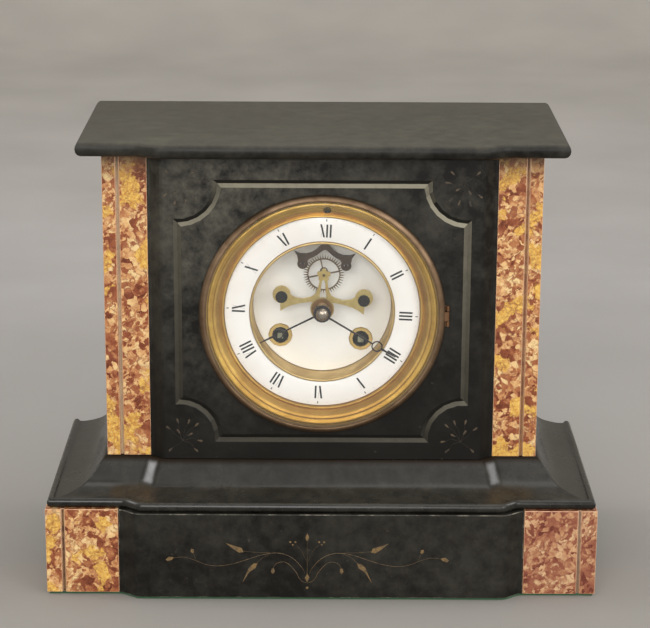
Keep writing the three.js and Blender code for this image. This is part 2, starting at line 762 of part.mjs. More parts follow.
// Four open quarters between a wheel's rim and its hub, with arms of the given half width.
function crossings(shape, hub, rim, turn, arm = 1, steps = 3) {
  for (let k = 0; k < 4; k++) {
    const arc = (radius, from, to, count) => Array.from({ length: count + 1 }, (_, i) => {
      const a = turn + k * QUARTER + from + (to - from) * i / count;
      return new THREE.Vector2(radius * Math.cos(a), radius * Math.sin(a));
    });
    const [atRim, atHub] = [arm / rim, arm / hub];
    const path = [
      ...arc(rim, atRim, QUARTER - atRim, steps),
      ...arc(hub, QUARTER - atHub, atHub, 1),
    ];
    shape.holes.push(new THREE.Path(path));
  }
  return shape;
}

const bearing = ([x, z], [x2, z2]) => Math.atan2(z2 - z, x2 - x);
const centres = (module, a, b) => module * (a + b) / 2;

// The point at the given distances from two others, on the left of the line between them.
function meet([x, z], r, [x2, z2], r2) {
  const [dx, dz] = [x2 - x, z2 - z];
  const d = Math.hypot(dx, dz);
  const along = (r * r - r2 * r2 + d * d) / (2 * d);
  const off = Math.sqrt(r * r - along * along);
  return [x + (dx * along - dz * off) / d, z + (dz * along + dx * off) / d];
}

const middle = [0, 0];
const interAt = meet(
  winding, centres(GREAT_MODULE, GREAT_TEETH, GREAT_PINION),
  middle, centres(INTER_MODULE, INTER_TEETH, INTER_PINION),
);
const thirdAt = meet(
  escapeAt, centres(THIRD_MODULE, THIRD_TEETH, THIRD_PINION),
  middle, centres(CENTRE_MODULE, CENTRE_TEETH, CENTRE_PINION),
);
const away = ([x, z], distance, degrees) => {
  const a = degrees * Math.PI / 180;
  return [x + distance * Math.cos(a), z + distance * Math.sin(a)];
};
const strikeAt = away(windingLeft, centres(GREAT_MODULE, GREAT_TEETH, GREAT_PINION), 75);
const pinAt = away(strikeAt, centres(STRIKE_MODULE, STRIKE_TEETH, STRIKE_PINION), 110);
const flyAt = away(pinAt, centres(PIN_MODULE, PIN_TEETH, FLY_PINION), 45);

// Where each wheel lies between the plates
const CENTRE_PLANE = INSIDE + 1.5;
const GREAT_PLANE = INSIDE + 4.5;
const THIRD_PLANE = INSIDE + 11.5;
const PIN_PLANE = INSIDE + 19.5;
const DRUM_BACK = INSIDE + 25.5;
const INTER_PLANE = INSIDE + 27.5;
const STRIKE_PLANE = INSIDE + 30.1;
const OVERRUN = 0.7; // pinions are longer than the wheels they meet

function wheel(teeth, module, toward, plane, hub) {
  const shape = wheelOutline(teeth, module, toward);
  const rim = teeth * module / 2 - 1.25 * module - 1.6;
  if (hub) crossings(shape, hub, rim, toward);
  return plate(shape, plane, plane + WHEEL_THICK);
}
function pinion(leaves, module, toward, plane) {
  const shape = pinionOutline(leaves, module, toward);
  return plate(shape, plane - OVERRUN, plane + WHEEL_THICK + OVERRUN);
}

// An arbor between the plates with a thinner pivot in each.
function arbor() {
  return join(
    rod(SLIM_ARBOR, INSIDE + JOINT, BACK_PLATE - JOINT, 6),
    rod(PIVOT, FRONT_PLATE, BEHIND, 6),
  );
}

// Winding arbor: square at the front, ratchet behind the dial, plain through the barrel
const RATCHET_PLANE = FRONT_PLATE - 3.2;
const WINDING_RADIUS = 3;
function ratchet() {
  const points = [];
  for (let i = 0; i < 14; i++) {
    const a = i / 14 * 2 * Math.PI;
    points.push([7.4 * Math.cos(a), 7.4 * Math.sin(a)]);
    points.push([6 * Math.cos(a + 0.06), 6 * Math.sin(a + 0.06)]);
  }
  return plate(outline(points), RATCHET_PLANE, RATCHET_PLANE + 1.6);
}
const SQUARE = 3.8;
const windingArbor = join(
  box(-SQUARE / 2, SQUARE / 2, CENTRE_FACE - 2.5, RATCHET_PLANE + 1, -SQUARE / 2, SQUARE / 2),
  ratchet(),
  rod(WINDING_RADIUS, RATCHET_PLANE, BEHIND, 10),
);
add(movement, 'going_winding_arbor', at(winding, windingArbor.clone()), steel);
add(movement, 'strike_winding_arbor', at(windingLeft, windingArbor.clone()), steel);

// Barrels: toothed great wheel on a drum, turning on the winding arbor
function barrel(toward) {
  return cut(
    join(
      plate(wheelOutline(GREAT_TEETH, GREAT_MODULE, toward), GREAT_PLANE, GREAT_PLANE + 1.8),
      rod(DRUM_RADIUS, GREAT_PLANE, DRUM_BACK, 18),
    ),
    rod(WINDING_RADIUS + 0.5, GREAT_PLANE - 1, DRUM_BACK + 1, 10),
  );
}
add(movement, 'going_barrel', at(winding, barrel(bearing(winding, interAt))), brass);
add(movement, 'strike_barrel', at(windingLeft, barrel(bearing(windingLeft, strikeAt))), brass);

// Going train
const intermediate = join(
  arbor(),
  pinion(GREAT_PINION, GREAT_MODULE, bearing(interAt, winding), GREAT_PLANE),
  wheel(INTER_TEETH, INTER_MODULE, bearing(interAt, middle), INTER_PLANE, 4),
);
add(movement, 'intermediate_wheel', at(interAt, intermediate), brass);
const NUT_BORE_END = -0.7;
const centreWheel = join(
  rod(ARBOR, NUT_BORE_END, BEHIND, 10),
  pinion(INTER_PINION, INTER_MODULE, bearing(middle, interAt), INTER_PLANE),
  wheel(CENTRE_TEETH, CENTRE_MODULE, bearing(middle, thirdAt), CENTRE_PLANE, 4),
);
add(movement, 'centre_wheel', centreWheel, brass);
const thirdWheel = join(
  arbor(),
  pinion(CENTRE_PINION, CENTRE_MODULE, bearing(thirdAt, middle), CENTRE_PLANE),
  wheel(THIRD_TEETH, THIRD_MODULE, bearing(thirdAt, escapeAt), THIRD_PLANE, 3.5),
);
add(movement, 'third_wheel', at(thirdAt, thirdWheel), brass);

// Escape wheel: slim hooked teeth, four spokes, and an arbor that runs back to the plates
function escapeOutline() {
  const points = [];
  for (let i = 0; i < ESCAPE_TEETH; i++) {
    const a = i / ESCAPE_TEETH * 2 * Math.PI;
    const step = 2 * Math.PI / ESCAPE_TEETH;
    points.push([ESCAPE_TIP * Math.cos(a), ESCAPE_TIP * Math.sin(a)]);
    const foot = a + 0.18 * step;
    const heel = a + 0.72 * step;
    points.push([ESCAPE_ROOT * Math.cos(foot), ESCAPE_ROOT * Math.sin(foot)]);
    points.push([ESCAPE_ROOT * Math.cos(heel), ESCAPE_ROOT * Math.sin(heel)]);
  }
  return outline(points);
}
const escapeShape = crossings(escapeOutline(), 2.4, ESCAPE_ROOT - ESCAPE_RIM, 0.25, 0.4, 7);
const escapeWheel = join(
  plate(escapeShape, ESCAPE_PLANE, ESCAPE_PLANE + WHEEL_THICK),
  rod(SLIM_ARBOR, COCK_FRONT + COCK_THICK + JOINT, BACK_PLATE - JOINT, 8),
  rod(PIVOT, COCK_FRONT, BEHIND, 8),
  pinion(THIRD_PINION, THIRD_MODULE, bearing(escapeAt, thirdAt), THIRD_PLANE),
);
add(movement, 'escape_wheel', at(escapeAt, escapeWheel), brass);

// Escape cock: a bridge on two feet, open round the hands, with two legs up to the escape pivot
const COCK_BACK = COCK_FRONT + COCK_THICK;
const cockFlat = (points) => plate(outline(points), COCK_FRONT, COCK_BACK);
const cockArm = [
  [4, 4.6], [8, 4.6], [14.5, 3.5], [20, 1.9], [24.2, -0.2], [27.3, -2.5], [27.6, 1.6],
  [COCK_SCREW_X, 8], [21.3, 9.1], [18.7, 7.3], [13.5, 6.5], [8, 7.8], [5.6, 9.3], [4, 8],
];
const cockLeg = [
  [2, 6.5], [5, 5.5], [5.6, 9.3], [4.4, 11.2], [3.2, 15.2], [2.5, 19.5], [0.9, 20.5], [1.1, 17.9],
  [1.6, 13.2], [2.2, 9.2],
];
// Five lobes round the escape pivot
const cockHead = Array.from({ length: 20 }, (_, i) => {
  const a = QUARTER + i / 20 * 2 * Math.PI;
  const radius = [4.6, 4.3, 3, 4.3][i % 4];
  return [radius * Math.cos(a), radius * Math.sin(a)];
});
const flipX = (points) => points.map(([x, z]) => [-x, z]);
const cockFoot = (place) => at(place, rod(COCK_FOOT, COCK_FRONT, FRONT_PLATE - JOINT, 8));
const screwBore = (place) => at(place, rod(1.9 + RUNNING, COCK_FRONT - 1, FRONT_PLATE, 8));
const escapeCock = cut(
  join(
    plate(disc(COCK_BOSS, 20), COCK_FRONT, COCK_BACK),
    at(escapeAt, cockFlat(cockHead)),
    plate(disc(COCK_PAD, 16, COCK_SCREW_X, COCK_SCREW_Z + 1.5), COCK_FRONT, COCK_BACK),
    plate(disc(COCK_PAD, 16, -COCK_SCREW_X, COCK_SCREW_Z + 1.5), COCK_FRONT, COCK_BACK),
    cockFlat(cockArm),
    cockFlat(flipX(cockArm)),
    cockFlat(cockLeg),
    cockFlat(flipX(cockLeg)),
    cockFoot(cockScrew),
    cockFoot(cockScrewLeft),
  ),
  rod(HOUR_PIPE + 1.3, COCK_FRONT - 1, COCK_BACK + 1, 14),
  at(escapeAt, rod(PIVOT + RUNNING, COCK_FRONT - 1, COCK_BACK + 1, 10)),
  screwBore(cockScrew),
  screwBore(cockScrewLeft),
);
add(movement, 'escape_cock', escapeCock, brass);
const screwHead = COCK_FRONT - JOINT;
const screwProfile = [
  [0, screwHead - 1.6],
  [3.2, screwHead - 1.5],
  [4, screwHead - 0.9],
  [4, screwHead],
  [1.9, screwHead],
  [1.9, INSIDE],
  [0, INSIDE],
];
const screwSlot = box(-5, 5, screwHead - 2, screwHead - 0.9, -0.4, 0.4).rotateY(0.6);
const cockScrewSolid = cut(revolve(screwProfile, 12), screwSlot);
pair(movement, 'cock_screw', at(cockScrew, cockScrewSolid), blued);

// Pallet anchor with its arbor and the crutch that reaches the pendulum
const ANCHOR_BACK = ANCHOR_FRONT + ANCHOR_THICK;
const pinFromPivot = PALLET_PIN_Z - PALLET_Z;
const anchorArm = [
  [0, 2.2], [2.5, 0.9], [5.5, -2.1], [8.5, -4.2], [12, -5.4], [16, -5.4], [20, -4],
  [18, -6.8], [17.4, -10], [PALLET_PIN_X, pinFromPivot], [11.6, -11], [10.2, -8.8],
  [7.5, -7.4], [5, -5.8], [2.5, -3.6], [0, -1.8],
];
const armRight = plate(outline(anchorArm), ANCHOR_FRONT, ANCHOR_BACK);
const holder = (x) => plate(disc(PALLET_HOLDER, 12, x, pinFromPivot), ANCHOR_FRONT, ANCHOR_BACK);
const pinBore = (x) => {
  return at([x, pinFromPivot], rod(PALLET_PIN + 0.25, ANCHOR_FRONT - 1, ANCHOR_BACK + 1, 10));
};
const CRUTCH_PLANE = BEHIND + 3.5;
const CRUTCH_LENGTH = 30;
const crutch = join(
  plate(disc(2.6, 8), CRUTCH_PLANE, CRUTCH_PLANE + 1.4),
  box(-0.9, 0.9, CRUTCH_PLANE, CRUTCH_PLANE + 1.4, -CRUTCH_LENGTH, 0),
  box(-3, 3, CRUTCH_PLANE, CRUTCH_PLANE + 1.4, -CRUTCH_LENGTH - 2, -CRUTCH_LENGTH + 1),
  box(
    ROD_RADIUS + 0.4, 3, CRUTCH_PLANE, PENDULUM_PLANE + ROD_RADIUS + 1,
    -CRUTCH_LENGTH - 2, -CRUTCH_LENGTH + 1,
  ),
  box(
    -3, -ROD_RADIUS - 0.4, CRUTCH_PLANE, PENDULUM_PLANE + ROD_RADIUS + 1,
    -CRUTCH_LENGTH - 2, -CRUTCH_LENGTH + 1,
  ),
).rotateY(-DIAL_LEAN);
const anchor = cut(
  join(
    plate(disc(2.4, 10), ANCHOR_FRONT, ANCHOR_BACK),
    armRight,
    mirrored(armRight),
    holder(PALLET_PIN_X),
    holder(-PALLET_PIN_X),
    rod(ARBOR, ANCHOR_FRONT - 0.6, CRUTCH_PLANE + 1.4, 8),
    crutch,
  ),
  pinBore(PALLET_PIN_X),
  pinBore(-PALLET_PIN_X),
);
add(movement, 'pallet_anchor', at(palletAt, anchor), bronze);
const PIN_END = ESCAPE_PLANE + WHEEL_THICK + 0.6;
const palletPin = rod(PALLET_PIN, ANCHOR_FRONT - 0.5, PIN_END, 10);
pair(movement, 'pallet_pin', at([PALLET_PIN_X, PALLET_PIN_Z], palletPin), agate);

// Motion work behind the sunk dial
const minuteAt = [0, -centres(MINUTE_MODULE, CANNON_TEETH, MINUTE_TEETH)];
const HOUR_MODULE = -2 * minuteAt[1] / (MINUTE_PINION + HOUR_TEETH);
const MINUTE_PLANE = FRONT_PLATE - 2.6;
const HOUR_PLANE = FRONT_PLATE - 6;
const PIPE_FRONT = MINUTE_HAND_FRONT - JOINT;
const cannon = cut(
  join(
    rod(CANNON_PIPE, PIPE_FRONT, FRONT_PLATE - 0.5, 10),
    plate(
      pinionOutline(CANNON_TEETH, MINUTE_MODULE, bearing(middle, minuteAt)),
      MINUTE_PLANE - 0.6, FRONT_PLATE - 0.5,
    ),
  ),
  rod(ARBOR + RUNNING, PIPE_FRONT - 1, FRONT_PLATE, 8),
);
add(movement, 'cannon_pinion', cannon, steel);
const STUD = 1.2;
const minuteWheel = cut(
  join(
    wheel(MINUTE_TEETH, MINUTE_MODULE, bearing(minuteAt, middle), MINUTE_PLANE),
    plate(
      pinionOutline(MINUTE_PINION, HOUR_MODULE, bearing(minuteAt, middle)),
      HOUR_PLANE - 0.5, MINUTE_PLANE + 0.5,
    ),
  ),
  rod(STUD + RUNNING / 2, HOUR_PLANE - 1, FRONT_PLATE, 10),
);
add(movement, 'minute_wheel', at(minuteAt, minuteWheel), brass);
const HOUR_PIPE_FRONT = HOUR_HAND_FRONT - JOINT;
const hourWheel = cut(
  join(
    wheel(HOUR_TEETH, HOUR_MODULE, bearing(middle, minuteAt), HOUR_PLANE),
    rod(HOUR_PIPE, HOUR_PIPE_FRONT, HOUR_PLANE + WHEEL_THICK + 0.6, 12),
  ),
  rod(CANNON_PIPE + RUNNING, HOUR_PIPE_FRONT - 1, MINUTE_PLANE, 10),
);
add(movement, 'hour_wheel', hourWheel, brass);

// Hands: slim blades with a pierced moon
function hand({ length, moon, moonOuter, moonInner, boss, bore, angle, face }) {
  const back = face + HAND_THICK;
  const blade = [
    [-0.6, 0], [-0.45, moon], [-0.7, moon + moonOuter], [-0.2, length],
    [0.2, length], [0.7, moon + moonOuter], [0.45, moon], [0.6, 0],
  ];
  const body = join(
    plate(outline(blade), face, back),
    plate(disc(moonOuter, 18, 0, moon), face, back),
    plate(disc(boss, 16), face, back),
  );
  const pierced = cut(
    body,
    at([0, moon], rod(moonInner, face - 1, back + 1, 16)),
    rod(bore, face - 1, back + 1, 10),
  );
  return pierced.rotateY(THREE.MathUtils.degToRad(angle));
}
const minuteHand = hand({
  length: MINUTE_LENGTH,
  moon: MINUTE_MOON,
  moonOuter: 3.7,
  moonInner: 2.9,
  boss: 5.8,
  bore: CANNON_PIPE + RUNNING,
  angle: MINUTE_ANGLE,
  face: MINUTE_HAND_FRONT,
});
add(movement, 'minute_hand', minuteHand, blued);
const hourHand = hand({
  length: HOUR_LENGTH,
  moon: HOUR_MOON,
  moonOuter: 3.5,
  moonInner: 2.7,
  boss: 5.2,
  bore: HOUR_PIPE + RUNNING,
  angle: HOUR_ANGLE,
  face: HOUR_HAND_FRONT,
});
add(movement, 'hour_hand', hourHand, blued);
const NUT_BACK = PIPE_FRONT - JOINT;
const nutProfile = [
  [0, -1.7], [2, -1.5], [3.4, -0.8], [4.2, 0.2], [4.2, NUT_BACK],
  [ARBOR + RUNNING, NUT_BACK], [ARBOR + RUNNING, NUT_BORE_END - 0.3], [0, NUT_BORE_END - 0.3],
];
add(movement, 'hand_nut', revolve(nutProfile, 12), steel);

// Strike train: second wheel, pin wheel and fly
const strikeSecond = join(
  arbor(),
  pinion(GREAT_PINION, GREAT_MODULE, bearing(strikeAt, windingLeft), GREAT_PLANE),
  wheel(STRIKE_TEETH, STRIKE_MODULE, bearing(strikeAt, pinAt), STRIKE_PLANE, 4),
);
add(movement, 'strike_second_wheel', at(strikeAt, strikeSecond), brass);
const liftingPins = Array.from({ length: 8 }, (_, i) => {
  const a = i / 8 * 2 * Math.PI;
  const pin = rod(0.6, PIN_PLANE - 3, PIN_PLANE + 0.5, 4);
  return at([8.5 * Math.cos(a), 8.5 * Math.sin(a)], pin);
});
const pinWheel = join(
  arbor(),
  pinion(STRIKE_PINION, STRIKE_MODULE, bearing(pinAt, strikeAt), STRIKE_PLANE),
  wheel(PIN_TEETH, PIN_MODULE, bearing(pinAt, flyAt), PIN_PLANE),
  ...liftingPins,
);
add(movement, 'pin_wheel', at(pinAt, pinWheel), brass);
const fly = join(
  arbor(),
  pinion(FLY_PINION, PIN_MODULE, bearing(flyAt, pinAt), PIN_PLANE),
  box(-FLY_RADIUS, FLY_RADIUS, INSIDE + 3, PIN_PLANE - 4, -0.4, 0.4),
  rod(1.6, INSIDE + 3, PIN_PLANE - 4, 6),
);
add(movement, 'strike_fly', at(flyAt, fly), brass);

// Hammer on its own arbor, its head just off the rim of the bell
const bellAt = [0, BELL_Z];
const HEAD_ANGLE = 190;
const headAt = away(bellAt, BELL_RADIUS + HAMMER_HEAD + 0.4, HEAD_ANGLE);
const headFrom = [headAt[0] - HAMMER_AT[0], headAt[1] - HAMMER_AT[1]];
const shankLength = Math.hypot(...headFrom);
const shank = box(0, shankLength, BELL_MOUTH, BELL_MOUTH + 2, -0.8, 0.8)
  .rotateY(-bearing([0, 0], headFrom));
const hammer = join(
  arbor(),
  rod(SLIM_ARBOR, BACK_PLATE - 1, BEHIND + 1, 8),
  rod(1.6, BEHIND + JOINT, BELL_MOUTH + 2, 8),
  shank,
  at(headFrom, rod(HAMMER_HEAD, BELL_MOUTH - 1.5, BELL_MOUTH + 3.5, 12)),
);
add(movement, 'hammer', at(HAMMER_AT, hammer), steel);

// Bell, mouth towards the movement, held from behind by its stand
const BELL_TOP = BELL_MOUTH + BELL_DEPTH;
const BELL_BORE = 2.2;
const bellProfile = [
  [BELL_BORE, BELL_TOP],
  [17, BELL_TOP - 1.6],
  [30, BELL_TOP - 9.6],
  [BELL_RADIUS, BELL_MOUTH],
  [BELL_RADIUS - 1.8, BELL_MOUTH],
  [28.4, BELL_TOP - 10.6],
  [16.4, BELL_TOP - 3.3],
  [BELL_BORE, BELL_TOP - 1.7],
];
add(movement, 'bell', at(bellAt, revolve(bellProfile, 18)), brass);
const standAt = [30, -35];
const standTo = [bellAt[0] - standAt[0], bellAt[1] - standAt[1]];
const STAND_ARM = BELL_TOP + JOINT;
const standArm = box(0, Math.hypot(...standTo), STAND_ARM, STAND_ARM + 2.5, -2, 2)
  .rotateY(-bearing([0, 0], standTo));
const bellStand = join(
  rod(2, BEHIND + JOINT, STAND_ARM + 2.5, 8),
  rod(4.5, BEHIND + JOINT, BEHIND + 3, 8),
  standArm,
  at(standTo, rod(4, STAND_ARM, STAND_ARM + 2.5, 10)),
  at(standTo, rod(BELL_BORE - RUNNING, BELL_TOP - 4, STAND_ARM + 1, 8)),
  at(standTo, rod(4, BELL_TOP - 5, BELL_TOP - 2.6, 8)),
);
add(movement, 'bell_stand', at(standAt, bellStand), steel);

// Plates: pivot holes for every arbor, pillars and dial feet on the front one
const pivots = [interAt, thirdAt, strikeAt, pinAt, flyAt];
const bores = (low, high) => [
  ...pivots.map((place) => at(place, rod(PIVOT + RUNNING, low, high, 6))),
  at(HAMMER_AT, rod(SLIM_ARBOR + RUNNING, low, high, 6)),
  at(winding, rod(WINDING_RADIUS + 0.5, low, high, 8)),
  at(windingLeft, rod(WINDING_RADIUS + 0.5, low, high, 8)),
  at(palletAt, rod(ARBOR + RUNNING, low, high, 6)),
  rod(ARBOR + RUNNING, low, high, 6),
];
const pillarsAt = [[36, 30], [-36, 30], [12, -46], [-12, -46]];
const pillar = (place) => {
  return at(place, rod(PILLAR_RADIUS, INSIDE - 0.5, BACK_PLATE - JOINT, 6));
};
const FOOT_CIRCLE = (PAN_LIP + PAN_WALL_OUTER) / 2;
const dialFoot = (degrees) => {
  return at(away(middle, FOOT_CIRCLE, degrees), rod(1.6, LIP_BACK + JOINT, FRONT_PLATE + 0.5, 6));
};
const frontPlate = cut(
  join(
    rod(PLATE_RADIUS, FRONT_PLATE, INSIDE, 24),
    ...pillarsAt.map(pillar),
    ...[30, 150, 270].map(dialFoot),
    at(minuteAt, rod(STUD, HOUR_PLANE, FRONT_PLATE + 0.5, 10)),
  ),
  ...bores(FRONT_PLATE - 1, INSIDE + 1),
  at(escapeAt, rod(SLIM_ARBOR + 0.6, FRONT_PLATE - 1, INSIDE + 1, 6)),
  at(cockScrew, rod(1.9 + RUNNING, FRONT_PLATE - 1, INSIDE + 1, 8)),
  at(cockScrewLeft, rod(1.9 + RUNNING, FRONT_PLATE - 1, INSIDE + 1, 8)),
);
add(movement, 'front_plate', frontPlate, brass);
const backPlate = cut(
  rod(PLATE_RADIUS, BACK_PLATE, BEHIND, 24),
  ...bores(BACK_PLATE - 1, BEHIND + 1),
  at(escapeAt, rod(PIVOT + RUNNING, BACK_PLATE - 1, BEHIND + 1, 8)),
);
add(movement, 'back_plate', backPlate, brass);

// Pendulum: hangs upright from the axis of the pallets, whatever way the movement leans
const hanging = new THREE.Group();
hanging.position.set(PALLET_Z * Math.sin(DIAL_LEAN), 0, PALLET_Z * Math.cos(DIAL_LEAN));
front.add(hanging);
const CHOP_LOW = 3.5; // above the swing axis
const SPRING_TOP = 7.5;
const ROD_TOP = -3;
const rodEnd = -PENDULUM_LENGTH - BOB_RADIUS - 8;
const pendulumRod = join(
  box(-0.25, 0.25, PENDULUM_PLANE - 2.5, PENDULUM_PLANE + 2.5, ROD_TOP - 1, SPRING_TOP),
  box(-3, 3, PENDULUM_PLANE - 2, PENDULUM_PLANE + 2, ROD_TOP - 5, ROD_TOP),
  upright(ROD_RADIUS, rodEnd, ROD_TOP - 4, 0, PENDULUM_PLANE),
);
add(hanging, 'pendulum_rod', pendulumRod, steel);
const bobProfile = [
  [0, -BOB_THICK / 2], [14, -BOB_THICK / 2 + 1.6], [BOB_RADIUS, -0.6],
  [BOB_RADIUS, 0.6], [14, BOB_THICK / 2 - 1.6], [0, BOB_THICK / 2],
];
const rodBore = upright(ROD_RADIUS + 0.25, -BOB_RADIUS - 1, BOB_RADIUS + 1, 0, 0);
const bob = cut(revolve(bobProfile, 18), rodBore).translate(0, PENDULUM_PLANE, -PENDULUM_LENGTH);
add(hanging, 'pendulum_bob', bob, brass);
const nutTop = -PENDULUM_LENGTH - BOB_RADIUS - JOINT;
const ratingNut = cut(
  upright(4, nutTop - 3.5, nutTop, 0, PENDULUM_PLANE, 16),
  upright(ROD_RADIUS + 0.25, nutTop - 5, nutTop + 1, 0, PENDULUM_PLANE),
);
add(hanging, 'rating_nut', ratingNut, brass);

// Suspension cock on the back plate, slotted for the spring, with the regulator's bearing on top
const toRegulator = REGULATOR_Z - PALLET_Z;
const regulatorFrom = [toRegulator * Math.sin(DIAL_LEAN), toRegulator * Math.cos(DIAL_LEAN)];
const COCK_REAR = PENDULUM_PLANE + 3.5;
const SLOT_HALF = 1.1;
const suspensionCock = cut(
  join(
    box(-7, 7, BEHIND + JOINT, BEHIND + 2.8, CHOP_LOW, toRegulator - 2),
    at(regulatorFrom, rod(4.5, BEHIND + JOINT, BEHIND + 2.8, 12)),
    box(-6, 6, BEHIND + 1, COCK_REAR, CHOP_LOW, CHOP_LOW + 9),
  ),
  box(-SLOT_HALF, SLOT_HALF, BEHIND + 4, COCK_REAR + 1, CHOP_LOW - 1, SPRING_TOP + JOINT),
  at(regulatorFrom, rod(ARBOR + RUNNING, BEHIND - 1, BEHIND + 4, 10)),
);
add(hanging, 'suspension_cock', suspensionCock, brass);
const regulator = join(
  rod(ARBOR, 2, BEHIND + 4, 8),
  box(-1.2, 1.2, 0.4, 3, -1.2, 1.2),
  rod(2.6, BEHIND + 3.1, BEHIND + 4.6, 10),
);
add(movement, 'regulator_arbor', at([0, REGULATOR_Z], regulator), steel);

// Back ring in the hole of the back, hinged dished door, and the two straps to the dial pan
const BACK_SPIGOT = BACK_HOLE - 0.8;
const backProfile = [
  [BACK_LIP, REAR - 6],
  [BACK_SPIGOT, REAR - 6],
  [BACK_SPIGOT, REAR + JOINT],
  [BACK_FLANGE, REAR + JOINT],
  [BACK_FLANGE, REAR + JOINT + 1.5],
  [BACK_SPIGOT - 1.2, REAR + JOINT + 1.5],
  [BACK_SPIGOT - 1.2, REAR - 4.5],
  [BACK_LIP, REAR - 4.5],
];
const DOOR_FRONT = REAR + JOINT + 1.5 + JOINT;
const DOOR_TOP = REAR + DOOR_STANDS_OUT;
const DOOR_HINGE_X = BACK_FLANGE + 1;
const DOOR_HINGE_Y = DOOR_FRONT + KNUCKLE;
const doorLug = (low, high) => {
  return box(BACK_FLANGE - 1.6, DOOR_HINGE_X, REAR + JOINT, DOOR_HINGE_Y, low, high);
};
const backRing = join(
  revolve(backProfile, 26),
  fixedKnuckles(DOOR_HINGE_X, DOOR_HINGE_Y),
  doorLug(KNUCKLE_HALF + JOINT, KNUCKLE_END),
  doorLug(-KNUCKLE_END, -KNUCKLE_HALF - JOINT),
);
add(front, 'back_ring', backRing, brass);
const doorProfile = [
  [0, DOOR_TOP],
  [38, DOOR_TOP - 1.2],
  [56, DOOR_FRONT + 1.2],
  [DOOR_RADIUS, DOOR_FRONT + 1.2],
  [DOOR_RADIUS, DOOR_FRONT],
  [55, DOOR_FRONT],
  [37.4, DOOR_TOP - 2.4],
  [0, DOOR_TOP - 1.2],
];
const doorWeb = box(
  DOOR_RADIUS - 2, DOOR_HINGE_X, DOOR_FRONT, DOOR_FRONT + 1.2, -KNUCKLE_HALF, KNUCKLE_HALF,
);
const doorKnob = rod(2.6, DOOR_FRONT + 0.6, DOOR_TOP - 0.5, 14).translate(8 - DOOR_RADIUS, 0, 0);
const backDoor = cut(
  join(revolve(doorProfile, 26), doorWeb, looseKnuckle(DOOR_HINGE_X, DOOR_HINGE_Y), doorKnob),
  knuckleBore(DOOR_HINGE_X, DOOR_HINGE_Y),
);
add(front, 'back_door', backDoor, brass);
const strapEnd = REAR - 6 - JOINT;
const strapPlan = [
  [STRAP_X, PAN_BACK + JOINT],
  [STRAP_X + 9, PAN_BACK + JOINT],
  [STRAP_X + 9, PAN_BACK + JOINT + STRAP_THICK],
  [STRAP_X + STRAP_THICK, PAN_BACK + JOINT + STRAP_THICK],
  [STRAP_X + STRAP_THICK, strapEnd],
  [STRAP_X - 4, strapEnd],
  [STRAP_X - 4, strapEnd - STRAP_THICK],
  [STRAP_X, strapEnd - STRAP_THICK],
];
pair(front, 'strap', raise(strapPlan, -STRAP_WIDTH / 2, STRAP_WIDTH / 2), brass);

export default clock;
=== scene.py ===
"""Looks of the slate mantel clock: stone, gilding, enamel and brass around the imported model."""

import math

import bmesh
import bpy
from mathutils import Matrix, Vector


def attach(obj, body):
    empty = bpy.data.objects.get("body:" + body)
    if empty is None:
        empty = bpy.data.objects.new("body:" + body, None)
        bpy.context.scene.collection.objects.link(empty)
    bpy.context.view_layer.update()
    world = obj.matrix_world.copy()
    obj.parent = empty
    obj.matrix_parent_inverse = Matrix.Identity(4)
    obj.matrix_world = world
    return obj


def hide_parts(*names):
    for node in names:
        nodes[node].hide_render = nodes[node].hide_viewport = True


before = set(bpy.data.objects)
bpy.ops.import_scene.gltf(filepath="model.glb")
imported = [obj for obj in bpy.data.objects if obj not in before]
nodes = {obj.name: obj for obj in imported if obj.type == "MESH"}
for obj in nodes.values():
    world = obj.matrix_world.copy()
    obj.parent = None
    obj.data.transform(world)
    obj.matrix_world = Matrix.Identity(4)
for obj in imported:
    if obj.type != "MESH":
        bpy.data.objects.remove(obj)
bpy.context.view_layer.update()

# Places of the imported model, in millimetres
MM = 0.001
PANEL_FRONT = -51.5
BASE_FRONT = -91.0
MOULDING_TOP = 83.8
DIAL_Z = 182.8
DIAL_LEAN = math.radians(2.5)
HOUR_RING_FACE = 6.0

DIAL = Matrix.Translation((0, PANEL_FRONT * MM, DIAL_Z * MM))
MOVEMENT = DIAL @ Matrix.Rotation(DIAL_LEAN, 4, "Y")


def srgb(red, green, blue):
    """A colour written as 0 to 255 on screen, as the shader wants it."""
    def linear(value):
        value /= 255
        return value / 12.92 if value <= 0.04045 else ((value + 0.055) / 1.055) ** 2.4
    return (linear(red), linear(green), linear(blue), 1.0)


